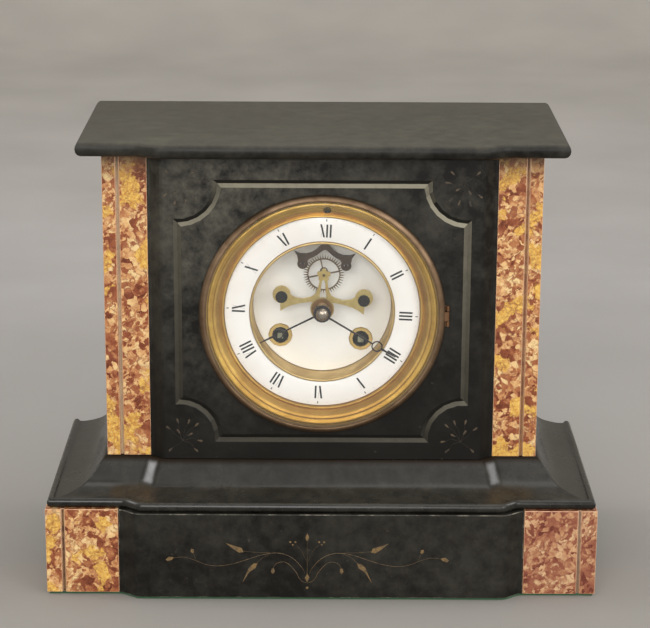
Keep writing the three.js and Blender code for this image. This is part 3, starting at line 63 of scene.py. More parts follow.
class Look:
    """A material on one Principled shader, with short ways to add nodes in front of it."""

    def __init__(self, name, **shader):
        self.material = bpy.data.materials.new(name)
        self.material.use_nodes = True
        self.tree = self.material.node_tree
        self.shader = self.tree.nodes["Principled BSDF"]
        for key, value in shader.items():
            self.shader.inputs[key.replace("_", " ")].default_value = value
        self.place = self.add("ShaderNodeTexCoord").outputs["Object"]

    def feed(self, socket, value):
        if isinstance(value, bpy.types.NodeSocket):
            self.tree.links.new(value, socket)
        else:
            socket.default_value = value

    def add(self, kind, inputs=None, **settings):
        node = self.tree.nodes.new(kind)
        for key, value in settings.items():
            setattr(node, key, value)
        for key, value in (inputs or {}).items():
            self.feed(node.inputs[key], value)
        return node

    def moved(self, offset=(0, 0, 0), scale=(1, 1, 1)):
        inputs = {"Vector": self.place, "Location": offset, "Scale": scale}
        return self.add("ShaderNodeMapping", inputs).outputs["Vector"]

    def noise(self, scale, detail=3.0, rough=0.55, vector=None, colour=False):
        inputs = {
            "Vector": vector or self.place,
            "Scale": scale,
            "Detail": detail,
            "Roughness": rough,
        }
        return self.add("ShaderNodeTexNoise", inputs).outputs[1 if colour else 0]

    def cells(self, scale, vector=None, feature="F1"):
        inputs = {"Vector": vector or self.place, "Scale": scale}
        return self.add("ShaderNodeTexVoronoi", inputs, feature=feature)

    def ramp(self, factor, stops):
        node = self.add("ShaderNodeValToRGB", {"Fac": factor})
        elements = node.color_ramp.elements
        while len(elements) < len(stops):
            elements.new(1.0)
        for element, (position, colour) in zip(elements, stops):
            element.position = position
            element.color = colour
        return node.outputs["Color"]

    def mix(self, factor, first, second):
        node = self.add("ShaderNodeMix", data_type="RGBA")
        for socket, value in ((0, factor), (6, first), (7, second)):  # the ones for colours
            self.feed(node.inputs[socket], value)
        return node.outputs[2]

    def math(self, operation, first, second=0.0, third=0.0):
        node = self.add("ShaderNodeMath", operation=operation)
        for socket, value in zip(node.inputs, (first, second, third)):
            self.feed(socket, value)
        return node.outputs[0]

    def band(self, value, low, high, to_low=0.0, to_high=1.0):
        """Runs from one result at the low value to the other at the high one, and no further."""
        inputs = {
            "Value": value,
            "From Min": low,
            "From Max": high,
            "To Min": to_low,
            "To Max": to_high,
        }
        return self.add("ShaderNodeMapRange", inputs, clamp=True).outputs[0]

    def along(self, axis):
        return self.add("ShaderNodeSeparateXYZ", {"Vector": self.place}).outputs[axis]

    def from_dial_axis(self):
        """Distance from the line through the middle of the dial, in metres."""
        flat = self.moved(offset=(0, 0, -DIAL_Z * MM), scale=(1, 0, 1))
        return self.add("ShaderNodeVectorMath", {0: flat}, operation="LENGTH").outputs["Value"]

    def facing_up(self, low, high):
        """How far a face looks upward, from 0 at the low slope to 1 at the high one."""
        normal = self.add("ShaderNodeNewGeometry").outputs["Normal"]
        upward = self.add("ShaderNodeSeparateXYZ", {"Vector": normal}).outputs[2]
        return self.band(upward, low, high)

    def colour(self, value):
        self.feed(self.shader.inputs["Base Color"], value)

    def rough(self, value):
        self.feed(self.shader.inputs["Roughness"], value)

    def bump(self, height, strength, depth):
        inputs = {"Height": height, "Strength": strength, "Distance": depth}
        node = self.add("ShaderNodeBump", inputs)
        self.feed(self.shader.inputs["Normal"], node.outputs[0])


SLATE_BARE, SLATE_BLOOM, SLATE_RUST = srgb(20, 18, 15), srgb(96, 93, 82), srgb(78, 58, 36)
SLATE_SPECK, SLATE_CHIP, SLATE_SHADE_AND_GRIME = srgb(110, 106, 94), srgb(134, 128, 114), srgb(34, 25, 18)
# Bare stone of the panel's frame, paler than the polished face, in painted shade and painted light
FRAME_PAINTED_SHADE, FRAME_PAINTED_LIGHT = srgb(26, 24, 20), srgb(142, 136, 118)
FRAME_HALF = (0.098, 0.0985)  # metres from the panel's middle within which a cut is the frame's
FRAME_CUT = (0.1, 0.3)  # millimetres behind the panel's face at which the stone counts as cut
SHADE_AND_GRIME_BAND = (3.5, 0.8)  # millimetres under the given height


def panel_bloom(look):
    """Share of the bloom on each part of the front panel, with the most at its upper left."""
    across = look.along(0)
    from_left = look.band(across, -0.115, -0.085, 0.4, 1.0)
    to_right = look.band(across, -0.07, 0.05, 1.0, 0.4)
    upward = look.band(look.along(2), 0.09, 0.26, 0.05, 1.0)
    return look.math("MULTIPLY", look.math("MINIMUM", from_left, to_right), upward)


def panel_frame(look, blotch):
    """Where the frame is cut into the panel, and its bare stone in painted light and shade."""
    inside = look.band(look.math("ABSOLUTE", look.along(0)), *FRAME_HALF, 1.0, 0.0)
    deep = look.band(look.along(1), *((PANEL_FRONT + depth) * MM for depth in FRAME_CUT))
    # Painted shade low on the panel, painted light on faces that look up and towards the right
    upward = look.band(look.along(2), 0.1, 0.25, 0.16, 1.0)
    painted_light = look.math("MULTIPLY", look.facing_up(-0.35, 0.5), upward)
    painted_light = look.math("MULTIPLY", painted_light, look.band(look.along(0), -0.08, 0.08, 0.8, 1.3))
    painted_light = look.math("MULTIPLY", painted_light, look.band(blotch, 0.3, 0.7, 0.7, 1.1))
    return look.math("MULTIPLY", inside, deep), look.mix(painted_light, FRAME_PAINTED_SHADE, FRAME_PAINTED_LIGHT)


def slate_look(name, bloom, gloss=0.25, dust_and_sheen=0.0, panel=False, worn=0.0, shade_and_grime_top=None):
    """Black slate, with a dull bloom in patches, fine specks and a little wear.

    Faces that look up are lighter, partly dusty and partly a painted sheen, and a narrow band under
    the given height is darker, partly grimy and partly a painted shade.
    """
    look = Look(name, Specular_IOR_Level=gloss)
    cloud = look.noise(13, 6.0, 0.62)
    fine = look.noise(300, 4.0, 0.6)
    blotch = look.noise(110, 7.0, 0.7)
    dull = look.band(look.math("MULTIPLY_ADD", blotch, 1.1, cloud), 0.9, 1.35)
    if panel:
        dull = look.math("MULTIPLY", dull, panel_bloom(look))
    dull = look.math("MULTIPLY", dull, bloom)
    # Painted sheen, partly dusty too: faces that look up are lighter
    if dust_and_sheen:
        dull = look.math("MULTIPLY_ADD", look.facing_up(0.3, 0.9), dust_and_sheen, dull)
    colour = look.mix(dull, SLATE_BARE, SLATE_BLOOM)
    rust = look.math("MULTIPLY", look.band(look.noise(150, 5.0, 0.7), 0.58, 0.7), dull)
    colour = look.mix(look.math("MULTIPLY", rust, 0.6), colour, SLATE_RUST)
    specks = look.math("MULTIPLY", look.band(fine, 0.68, 0.76), 0.22)
    colour = look.mix(specks, colour, SLATE_SPECK)
    rough = look.band(look.math("MULTIPLY_ADD", dull, 0.8, cloud), 0.35, 1.1, 0.32, 0.62)
    if worn:
        chips = look.band(look.noise(140, 5.0, 0.7), 0.62 - worn * 0.25, 0.8 - worn * 0.25)
        colour = look.mix(chips, colour, SLATE_CHIP)
    # Painted shade, partly grimy too: a darker, less shiny band under the given height
    if shade_and_grime_top:
        low, high = ((shade_and_grime_top - under) * MM for under in SHADE_AND_GRIME_BAND)
        shade_and_grime = look.band(look.along(2), low, high, 0.0, 0.8)
        colour = look.mix(shade_and_grime, colour, SLATE_SHADE_AND_GRIME)
        rough = look.math("SUBTRACT", rough, 0.18)
        shine = look.math("MULTIPLY_ADD", shade_and_grime, -1.1 * gloss, gloss)
        look.feed(look.shader.inputs["Specular IOR Level"], shine)
    if panel:
        cut, stone = panel_frame(look, blotch)
        colour = look.mix(cut, colour, stone)
        rough = look.math("MAXIMUM", rough, look.math("MULTIPLY", cut, 0.7))
    look.colour(colour)
    look.rough(rough)
    look.bump(look.math("MULTIPLY_ADD", fine, 0.3, blotch), 0.22, 0.0003)
    return look.material


MARBLE_PAINTED_SHADE = srgb(72, 54, 34)
SHADE_REACH = 16.0  # millimetres under the dark height
NO_SHADE = 400.0  # a dark height above the clock
GROOVE_EDGE = 0.1  # millimetres in which the groove's colour comes in
WOBBLE = 0.007  # metres by which the shards are bent


def marble_look(name, stops, matrix, seed, groove, dark, gold):
    """Broken marble: slanted pale shards bedded in rust red, with patches of gold and thin veins.

    The groove is the span of x that the cut line takes, with the line's own colour. The stone
    darkens towards the dark height in a painted shade, as under the slab, and more gold makes
    its patches larger.
    """
    look = Look(name, Specular_IOR_Level=0.4)
    offset = look.moved(offset=seed)
    wobble = look.noise(150, 4.0, 0.6, offset, colour=True)
    shift = look.add("ShaderNodeVectorMath", {0: wobble, 1: (0.5, 0.5, 0.5)}, operation="SUBTRACT")
    inputs = {0: shift.outputs[0], "Scale": WOBBLE}
    push = look.add("ShaderNodeVectorMath", inputs, operation="SCALE")
    inputs = {0: offset, 1: push.outputs[0]}
    bent = look.add("ShaderNodeVectorMath", inputs, operation="ADD").outputs[0]

    def shards(scale, tilt, long):
        inputs = {"Vector": bent, "Rotation": (0.4, tilt, 0.3), "Scale": (1, 1, long)}
        lay = look.add("ShaderNodeMapping", inputs, vector_type="TEXTURE").outputs[0]
        tint = look.cells(scale, lay).outputs["Color"]
        tone = look.add("ShaderNodeSeparateColor", {"Color": tint}).outputs[0]
        return tone, look.cells(scale, lay, "DISTANCE_TO_EDGE").outputs["Distance"]

    small, small_gap = shards(560, 0.7, 2.2)
    large, large_gap = shards(300, -0.9, 2.2)
    broken = look.band(look.noise(95, 3.0, 0.5, offset), 0.46, 0.52)
    value = look.math("MULTIPLY_ADD", look.math("SUBTRACT", large, small), broken, small)
    seam = look.math("MULTIPLY_ADD", look.math("SUBTRACT", large_gap, small_gap), broken, small_gap)
    zone = look.math("SUBTRACT", look.noise(45, 3.0, 0.55, offset), 0.5)
    grain = look.math("SUBTRACT", look.noise(520, 5.0, 0.7, offset), 0.5)
    value = look.math("MULTIPLY_ADD", zone, 1.1, look.math("MULTIPLY_ADD", value, 0.7, 0.15))
    value = look.math("MULTIPLY_ADD", grain, 0.45, value)
    colour = look.ramp(value, stops)
    patch = look.band(look.noise(58, 3.0, 0.5, bent), 0.61 - gold, 0.64 - gold)
    yellow = look.ramp(look.math("ADD", grain, 0.5), GOLD_PATCH)
    colour = look.mix(patch, colour, yellow)
    patchy = look.band(look.noise(90, 4.0, 0.6, offset), 0.4, 0.62)
    bed = look.math("MULTIPLY", look.band(seam, 0.0, 0.16, 0.9, 0.0), patchy)
    away = look.math("ABSOLUTE", look.math("SUBTRACT", look.noise(130, 3.0, 0.6, bent), 0.5))
    bed = look.math("MAXIMUM", bed, look.band(away, 0.0, 0.016, 0.7, 0.0))
    colour = look.mix(bed, colour, matrix)
    start, end, line = groove
    across = look.along(0)
    cut = look.band(across, start * MM, (start + GROOVE_EDGE) * MM)
    after = look.band(across, (end - GROOVE_EDGE) * MM, end * MM, 1.0, 0.0)
    cut = look.math("MULTIPLY", cut, after)
    colour = look.mix(look.math("MULTIPLY", cut, 0.85), colour, line)
    # Painted shade under the slab: the stone darkens towards the dark height
    slab_shade = look.band(look.along(2), (dark - SHADE_REACH) * MM, dark * MM, 0.0, 0.75)
    colour = look.mix(slab_shade, colour, MARBLE_PAINTED_SHADE)
    look.colour(colour)
    look.rough(look.band(bed, 0.0, 1.0, 0.26, 0.42))
    look.bump(look.math("MULTIPLY_ADD", grain, 0.5, seam), 0.2, 0.00025)
    return look.material


# Where one colour of the metal passes into another, in millimetres
LOW_SHADE_BAND = (76.0, 40.0)  # under the middle of the dial
RATCHET = (28.0, 31.0)  # behind the panel's face
BOSS = (6.6, 7.8)  # from the dial's axis


def metal_look(name, bright, dark, low, high, scale=60.0):
    """Metal with a patina in clouds and fine scratches, its roughness running from low to high."""
    look = Look(name, Metallic=1.0)
    cloud = look.noise(scale, 5.0, 0.6)
    fine = look.noise(1400, 3.0, 0.6)
    colour = look.mix(look.band(cloud, 0.38, 0.68), bright, dark)
    look.colour(look.mix(look.band(fine, 0.55, 0.75, 0.0, 0.35), colour, dark))
    look.rough(look.band(look.math("MULTIPLY_ADD", fine, 0.4, cloud), 0.45, 0.95, low, high))
    look.bump(fine, 0.12, 0.00006)
    return look.material


def spun_look(name, bright, dark, low, high, seed=0.0, low_shade=None):
    """Turned metal: fine rings left by the lathe round the dial's axis, under a cloudy patina.

    Low shade is the colour of a painted shade on the lowest part.
    """
    look = Look(name, Metallic=1.0)
    inputs = {"W": look.from_dial_axis(), "Scale": 2600.0, "Detail": 2.0}
    rings = look.add("ShaderNodeTexNoise", inputs, noise_dimensions="1D").outputs[0]
    cloud = look.noise(55, 5.0, 0.6, look.moved(offset=(seed, seed, seed)))
    colour = look.mix(look.band(cloud, 0.36, 0.68), bright, dark)
    # Painted shade: the lowest part darkens towards the low shade colour
    if low_shade:
        low_z, high_z = ((DIAL_Z - under) * MM for under in LOW_SHADE_BAND)
        colour = look.mix(look.band(look.along(2), low_z, high_z, 0.8, 0.0), colour, low_shade)
    look.colour(look.mix(look.band(rings, 0.5, 0.75, 0.0, 0.45), colour, dark))
    look.rough(look.band(look.math("MULTIPLY_ADD", rings, 0.4, cloud), 0.45, 0.95, low, high))
    look.bump(rings, 0.1, 0.00005)
    return look.material


def winding_look(name, square, shade):
    """Steel arbor with a bright square end, and a ratchet deep in the hole painted dark as shade."""
    look = Look(name, Metallic=1.0)
    cloud = look.noise(260, 4.0, 0.6)
    # Painted shade on the ratchet, deep behind the panel's face
    behind = look.band(look.along(1), *((PANEL_FRONT + depth) * MM for depth in RATCHET))
    bare = look.mix(look.band(cloud, 0.35, 0.7), square, srgb(104, 104, 84))
    look.colour(look.mix(behind, bare, shade))
    look.rough(look.band(cloud, 0.3, 0.7, 0.3, 0.5))
    look.bump(cloud, 0.15, 0.0001)
    return look.material


def cock_look(name, bright, dark, boss):
    """Pale brass, browner on the round boss behind the hands."""
    look = Look(name, Metallic=1.0)
    cloud = look.noise(160, 5.0, 0.6)
    colour = look.mix(look.band(cloud, 0.36, 0.68), bright, dark)
    middle = look.band(look.from_dial_axis(), *(radius * MM for radius in BOSS), 0.85, 0.0)
    look.colour(look.mix(middle, colour, boss))
    look.rough(look.band(cloud, 0.3, 0.7, 0.26, 0.44))
    look.bump(look.noise(1500, 3.0, 0.6), 0.12, 0.00006)
    return look.material


def enamel_look(name, white, shade, seed):
    """Glossy white, a little uneven, with faint flecks."""
    look = Look(name, Coat_Weight=0.4, Coat_Roughness=0.08)
    offset = look.moved(offset=(seed, 0, seed))
    cloud = look.noise(28, 4.0, 0.55, offset)
    fleck = look.band(look.noise(900, 2.0, 0.5, offset), 0.7, 0.8, 0.0, 0.12)
    colour = look.mix(look.band(cloud, 0.4, 0.75), white, shade)
    look.colour(look.mix(fleck, colour, srgb(150, 135, 115)))
    look.rough(look.band(cloud, 0.3, 0.7, 0.16, 0.28))
    look.bump(cloud, 0.15, 0.0003)
    return look.material


def paint_look(name, colour, faded, low, high, cut=0.5):
    """Ink or gilding that has worn thin in places."""
    look = Look(name)
    wear = look.band(look.noise(330, 4.0, 0.6), cut, cut + 0.22)
    look.colour(look.mix(wear, colour, faded))
    look.rough(look.band(wear, 0.0, 1.0, low, high))
    return look.material


def felt_look(name):
    """Green felt with a visible fibre."""
    look = Look(name, Sheen_Weight=0.4, Roughness=0.95)
    fibre = look.noise(2200, 4.0, 0.7)
    look.colour(look.mix(fibre, srgb(24, 52, 32), srgb(60, 104, 66)))
    look.bump(fibre, 0.6, 0.0004)
    return look.material


def glass_look(name, alpha, tint):
    """Thin glass that mostly lets through what is behind it."""
    look = Look(name, IOR=1.5, Alpha=alpha, Specular_IOR_Level=0.9)
    haze = look.noise(40, 3.0, 0.5)
    look.colour(tint)
    look.rough(look.band(haze, 0.3, 0.7, 0.02, 0.06))
    return look.material


def floor_look(name):
    """Grey that gets paler from the front of the floor to the backdrop, as painted light."""
    look = Look(name, Roughness=0.85)
    cloud = look.band(look.noise(5, 3.0, 0.5), 0.3, 0.7, 0.0, 0.3)
    shade = look.ramp(look.band(look.along(1), *FLOOR_SPAN), FLOOR_PAINTED_LIGHT)
    look.colour(look.mix(cloud, shade, FLOOR_CLOUD))
    return look.material


FLOOR_SPAN, FLOOR_CLOUD = (-0.6, 2.6), srgb(152, 148, 142)
# Painted light: the floor is darker in front and paler further back, against the lamps' falloff
FLOOR_PAINTED_LIGHT = [
    (0.0, srgb(136, 132, 126)),
    (0.18, srgb(136, 132, 126)),
    (0.4, srgb(192, 188, 185)),
    (0.95, srgb(205, 199, 190)),
]
GOLD_PATCH = [
    (0.25, srgb(172, 108, 50)),
    (0.42, srgb(208, 154, 74)),
    (0.58, srgb(226, 184, 94)),
    (0.8, srgb(236, 208, 136)),
]
RUST_GOLD = [
    (0.10, srgb(102, 50, 30)),
    (0.30, srgb(140, 76, 48)),
    (0.46, srgb(170, 110, 70)),
    (0.58, srgb(200, 146, 96)),
    (0.72, srgb(222, 178, 122)),
    (0.90, srgb(230, 198, 142)),
]
RUST_ROSE = [
    (0.10, srgb(102, 50, 38)),
    (0.30, srgb(134, 76, 56)),
    (0.46, srgb(152, 96, 70)),
    (0.60, srgb(176, 126, 90)),
    (0.76, srgb(196, 152, 112)),
    (0.92, srgb(208, 172, 130)),
]
slate = slate_look("slate", 0.2, 0.2)
slate_panel = slate_look("slate_panel", 0.85, 0.22, panel=True)
slate_gloss = slate_look("slate_gloss", 0.16, 0.36, 0.1, shade_and_grime_top=MOULDING_TOP)
slate_slab = slate_look("slate_slab", 0.26, 0.2, 0.42)
slate_edge = slate_look("slate_edge", 0.5, worn=0.5)
marble_base = marble_look(
    "marble_base", RUST_GOLD, srgb(120, 62, 40), (0.0, 0.0, 0.0),
    (-169.7, -167.5, srgb(84, 60, 42)), NO_SHADE, 0.06,
)
marble_rose = marble_look(
    "marble_rose", RUST_ROSE, srgb(122, 66, 50), (0.7, 0.3, 0.1),
    (167.5, 169.7, srgb(132, 112, 92)), NO_SHADE, -0.12,
)
marble_left = marble_look(
    "marble_left", RUST_GOLD, srgb(128, 66, 44), (0.2, 0.5, 0.6),
    (-133.2, -131.0, srgb(166, 146, 120)), 284.0, 0.05,
)
marble_right = marble_look(
    "marble_right", RUST_GOLD, srgb(122, 64, 42), (0.37, 0.11, 0.23),
    (131.0, 133.2, srgb(122, 84, 58)), 284.0, 0.06,
)
marble_edge = paint_look("marble_edge", srgb(202, 162, 128), srgb(158, 102, 74), 0.3, 0.5)
felt = felt_look("felt")
gilt = metal_look("gilt", srgb(226, 200, 132), srgb(196, 164, 94), 0.36, 0.5)
spun_gilt = spun_look(
    "spun_gilt", srgb(208, 170, 86), srgb(172, 132, 58), 0.4, 0.56, low_shade=srgb(150, 108, 46),
)
spun_pale = spun_look("spun_pale", srgb(210, 184, 126), srgb(178, 148, 92), 0.4, 0.55, 0.2)
spun_brown = spun_look("spun_brown", srgb(140, 116, 92), srgb(96, 76, 58), 0.42, 0.58, 0.5)
spun_brass = spun_look("spun_brass", srgb(196, 156, 88), srgb(146, 108, 58), 0.3, 0.46, 0.9)
cock_brass = cock_look("cock_brass", srgb(214, 194, 128), srgb(184, 158, 96), srgb(146, 98, 46))
brown_brass = metal_look("brown_brass", srgb(130, 98, 72), srgb(86, 62, 46), 0.42, 0.6, 45.0)
dark_brass = metal_look("dark_brass", srgb(126, 104, 72), srgb(84, 68, 48), 0.3, 0.45, 200.0)
train_brass = metal_look("train_brass", srgb(206, 168, 94), srgb(160, 120, 62), 0.26, 0.42)
plate_brass = metal_look("plate_brass", srgb(110, 84, 48), srgb(70, 52, 30), 0.34, 0.5)
winding_steel = winding_look("winding_steel", srgb(168, 168, 140), srgb(34, 29, 22))
steel = metal_look("steel", srgb(196, 194, 190), srgb(128, 124, 118), 0.2, 0.4)
worn_steel = metal_look("worn_steel", srgb(184, 172, 156), srgb(122, 110, 96), 0.2, 0.36, 300.0)
blued = metal_look("blued", srgb(58, 50, 50), srgb(30, 28, 36), 0.22, 0.4)
black_steel = metal_look("black_steel", srgb(44, 38, 36), srgb(22, 20, 20), 0.3, 0.5, 200.0)
oily_steel = metal_look("oily_steel", srgb(36, 28, 22), srgb(18, 15, 13), 0.5, 0.65, 300.0)
bronze = metal_look("bronze", srgb(82, 64, 48), srgb(54, 42, 32), 0.32, 0.48)
bell_metal = metal_look("bell_metal", srgb(206, 200, 176), srgb(160, 150, 120), 0.2, 0.36)
enamel = enamel_look("enamel", srgb(238, 235, 230), srgb(231, 226, 218), 0.0)
enamel_warm = enamel_look("enamel_warm", srgb(238, 237, 232), srgb(232, 228, 218), 0.3)
agate = paint_look("agate", srgb(34, 18, 16), srgb(66, 38, 30), 0.06, 0.14)
ink = paint_look("ink", srgb(24, 24, 24), srgb(60, 58, 56), 0.3, 0.45, 0.58)
faint_ink = paint_look("faint_ink", srgb(150, 144, 136), srgb(206, 202, 194), 0.3, 0.45, 0.45)
gilding = paint_look("gilding", srgb(116, 92, 56), srgb(64, 52, 36), 0.4, 0.6, 0.44)
old_gilding = paint_look("old_gilding", srgb(78, 64, 44), srgb(40, 34, 26), 0.45, 0.65, 0.42)
incised = paint_look("incised", srgb(56, 48, 38), srgb(28, 24, 20), 0.6, 0.75, 0.46)
clear_glass = glass_look("clear_glass", 0.03, srgb(235, 240, 238))
bevel_glass = glass_look("bevel_glass", 0.07, srgb(232, 206, 140))
floor_grey = floor_look("floor")


def smoothing(name, angle):
    """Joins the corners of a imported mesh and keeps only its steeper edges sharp."""
    tree = bpy.data.node_groups.new(name, "GeometryNodeTree")
    tree.interface.new_socket("Geometry", in_out="INPUT", socket_type="NodeSocketGeometry")
    tree.interface.new_socket("Geometry", in_out="OUTPUT", socket_type="NodeSocketGeometry")
    start = tree.nodes.new("NodeGroupInput")
    end = tree.nodes.new("NodeGroupOutput")
    merge = tree.nodes.new("GeometryNodeMergeByDistance")
    merge.inputs["Distance"].default_value = 1e-5
    faces = tree.nodes.new("GeometryNodeSetShadeSmooth")
    edges = tree.nodes.new("GeometryNodeSetShadeSmooth")
    edges.domain = "EDGE"
    edges.inputs["Shade Smooth"].default_value = False
    steep = tree.nodes.new("FunctionNodeCompare")
    steep.operation = "GREATER_THAN"
    steep.inputs[1].default_value = angle
    bend = tree.nodes.new("GeometryNodeInputMeshEdgeAngle")
    link = tree.links.new
    link(start.outputs[0], merge.inputs["Geometry"])
    link(merge.outputs[0], faces.inputs["Geometry"])
    link(faces.outputs[0], edges.inputs["Geometry"])
    link(bend.outputs["Unsigned Angle"], steep.inputs[0])
    link(steep.outputs[0], edges.inputs["Selection"])
    link(edges.outputs[0], end.inputs[0])
    return tree


SHARP = math.radians(35)
SMOOTH = smoothing("smooth_round", SHARP)
CRISP = smoothing("smooth_flat", math.radians(12))


def dress(name, look, edge=0.0, worn=None, smooth=SMOOTH):
    """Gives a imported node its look, and rounds its edges by that many millimetres.

    The rounded edges have the worn look, if there is one.
    """
    piece = nodes[name]
    mesh = piece.data
    if "custom_normal" in mesh.attributes:
        mesh.attributes.remove(mesh.attributes["custom_normal"])
    mesh.materials.clear()
    mesh.materials.append(look)
    soften = piece.modifiers.new("soften", "NODES")
    soften.node_group = smooth
    if edge:
        flat = piece.modifiers.new("flat", "DECIMATE")
        flat.decimate_type = "DISSOLVE"
        flat.angle_limit = math.radians(0.5)
        bevel = piece.modifiers.new("edges", "BEVEL")
        bevel.width = edge * MM
        bevel.segments = 2
        bevel.limit_method = "ANGLE"
        bevel.angle_limit = math.radians(40)
        bevel.use_clamp_overlap = True
        if worn:
            mesh.materials.append(worn)
            bevel.material = 1


def new_piece(name, points, faces, look, body, place=None):
    """A mesh piece in millimetres, put in place and set to ride on a body."""
    mesh = bpy.data.meshes.new(name)
    mesh.from_pydata([Vector(p) * MM for p in points], [], faces)
    shape = bmesh.new()
    shape.from_mesh(mesh)
    bmesh.ops.remove_doubles(shape, verts=shape.verts, dist=1e-7)
    bmesh.ops.recalc_face_normals(shape, faces=shape.faces)
    shape.to_mesh(mesh)
    shape.free()
    if place is not None:
        mesh.transform(place)
    for polygon in mesh.polygons:
        polygon.use_smooth = True
    mesh.set_sharp_from_angle(angle=SHARP)
    mesh.materials.append(look)
    piece = bpy.data.objects.new(name, mesh)
    bpy.context.scene.collection.objects.link(piece)
    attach(piece, body)
    return piece


def turned(name, profile, look, node, body="case", place=DIAL, holes=(), sides=144):
    """Turns a closed profile of (radius, depth) about an axis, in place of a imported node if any."""
    count = len(profile)
    points, faces = [], []
    for i in range(sides):
        a = 2 * math.pi * i / sides
        points += [(r * math.cos(a), y, r * math.sin(a)) for r, y in profile]
        j = (i + 1) % sides
        for k in range(count):
            n = (k + 1) % count
            faces.append((i * count + k, i * count + n, j * count + n, j * count + k))
    piece = new_piece(name, points, faces, look, body, place)
    if holes:
        depths = [y for _, y in profile]
        drill(piece, holes, min(depths) - 1, max(depths) + 1)
    if node:
        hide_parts(node)
    return piece


# Moulding, as (distance in from the base's outline, height): bead, quirk, cove and rounded shoulder
MOULDING = [
    (3.8, 59.7), (2.6, 60.05), (1.7, 60.9), (1.25, 62.0), (1.2, 63.0), (1.35, 64.1),
    (1.9, 65.2), (2.8, 65.95), (3.8, 66.2), (4.8, 65.95), (5.5, 65.3), (6.0, 64.75),
    (7.0, 64.5), (9.1, 64.55), (12.0, 64.9), (15.0, 65.5), (18.0, 66.25), (21.0, 67.2),
    (23.2, 68.3), (24.8, 69.4), (26.2, 70.7), (27.6, 72.4), (29.0, 74.25), (30.4, 76.1),
    (31.8, 77.95), (33.1, 79.6), (34.3, 81.0), (35.4, 82.2), (36.3, 83.0), (36.9, 83.5),
]
BLOCK_FACE, CASE_BACK, BASE_HALF = -83.0, 83.0, 180.0
SETBACK = 38.0  # from the outline of the base to that of the body
CORNER, CORNER_STEPS = 1.2, 4
# The middle stands forward: how far, where that starts and in what width it is reached, each
# at the outline of the base and at that of the body
FORWARD, FORWARD_START, FORWARD_RUN = (8.0, 6.5), (131.0, 116.0), (14.5, 11.5)
WELL = [(-50.0, -1.0), (50.0, -1.0), (50.0, 51.0), (-50.0, 51.0)]


def moulding_plan(inset, steps=16):
    """Outline of the moulding at that distance in, from the left of the back round to its right."""
    share = inset / SETBACK
    half, side = BASE_HALF - inset, BLOCK_FACE + inset
    forward, outer, run = (
        base + (body - base) * share for base, body in (FORWARD, FORWARD_START, FORWARD_RUN)
    )
    left = [(-half, CASE_BACK)]
    for i in range(CORNER_STEPS + 1):
        a = math.pi / 2 * i / CORNER_STEPS
        left.append((-half + CORNER * (1 - math.cos(a)), side + CORNER * (1 - math.sin(a))))
    for i in range(steps + 1):
        t = i / steps
        left.append((-outer + run * t, side - forward * t * t * (3 - 2 * t)))
    return left + [(-x, y) for x, y in reversed(left)]


def moulding(name, look, node):
    """Moulding between base and body, with the well that the pendulum hangs through."""
    points, faces = [], []
    for inset, height in MOULDING:
        points += [(x, y, height) for x, y in moulding_plan(inset)]
    count = len(points) // len(MOULDING)
    for level in range(len(MOULDING) - 1):
        low, high = level * count, (level + 1) * count
        for i in range(count - 1):
            faces.append((low + i, low + i + 1, high + i + 1, high + i))
    starts = range(0, len(points), count)
    faces.append(list(starts) + [start + count - 1 for start in reversed(starts)])
    wells = []
    for level in (0, len(MOULDING) - 1):
        loop = list(range(level * count, (level + 1) * count))
        hole = list(range(len(points), len(points) + 4))
        points += [(x, y, MOULDING[level][1]) for x, y in WELL]
        wells.append(hole)
        faces.append(loop[1:-1] + [hole[1], hole[0]])
        faces.append([loop[0], loop[1], hole[0], hole[3]])
        faces.append([loop[-2], loop[-1], hole[2], hole[1]])
        faces.append([loop[-1], loop[0], hole[3], hole[2]])
    for i in range(4):
        j = (i + 1) % 4
        faces.append((wells[0][i], wells[0][j], wells[1][j], wells[1][i]))
    piece = new_piece(name, points, faces, look, "case")
    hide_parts(node)


def drill(piece, holes, front, back, sides=48):
    """Cuts round holes, given as (x, z, radius) on the movement, through a turned piece."""
    points, faces = [], []
    for x, z, radius in holes:
        start = len(points)
        for y in (front, back):
            for i in range(sides):
                a = 2 * math.pi * i / sides
                points.append((x + radius * math.cos(a), y, z + radius * math.sin(a)))
        faces.append(tuple(range(start, start + sides)))
        faces.append(tuple(range(start + 2 * sides - 1, start + sides - 1, -1)))
        for i in range(sides):
            j = (i + 1) % sides
            faces.append((start + i, start + sides + i, start + sides + j, start + j))
    tool = new_piece("drill", points, faces, piece.data.materials[0], "case", MOVEMENT)
    cut = piece.modifiers.new("holes", "BOOLEAN")
    cut.object = tool
    cut.solver = "EXACT"
    graph = bpy.context.evaluated_depsgraph_get()
    piece.data = bpy.data.meshes.new_from_object(piece.evaluated_get(graph))
    piece.data.set_sharp_from_angle(angle=SHARP)
    piece.modifiers.clear()
    bpy.data.objects.remove(tool)


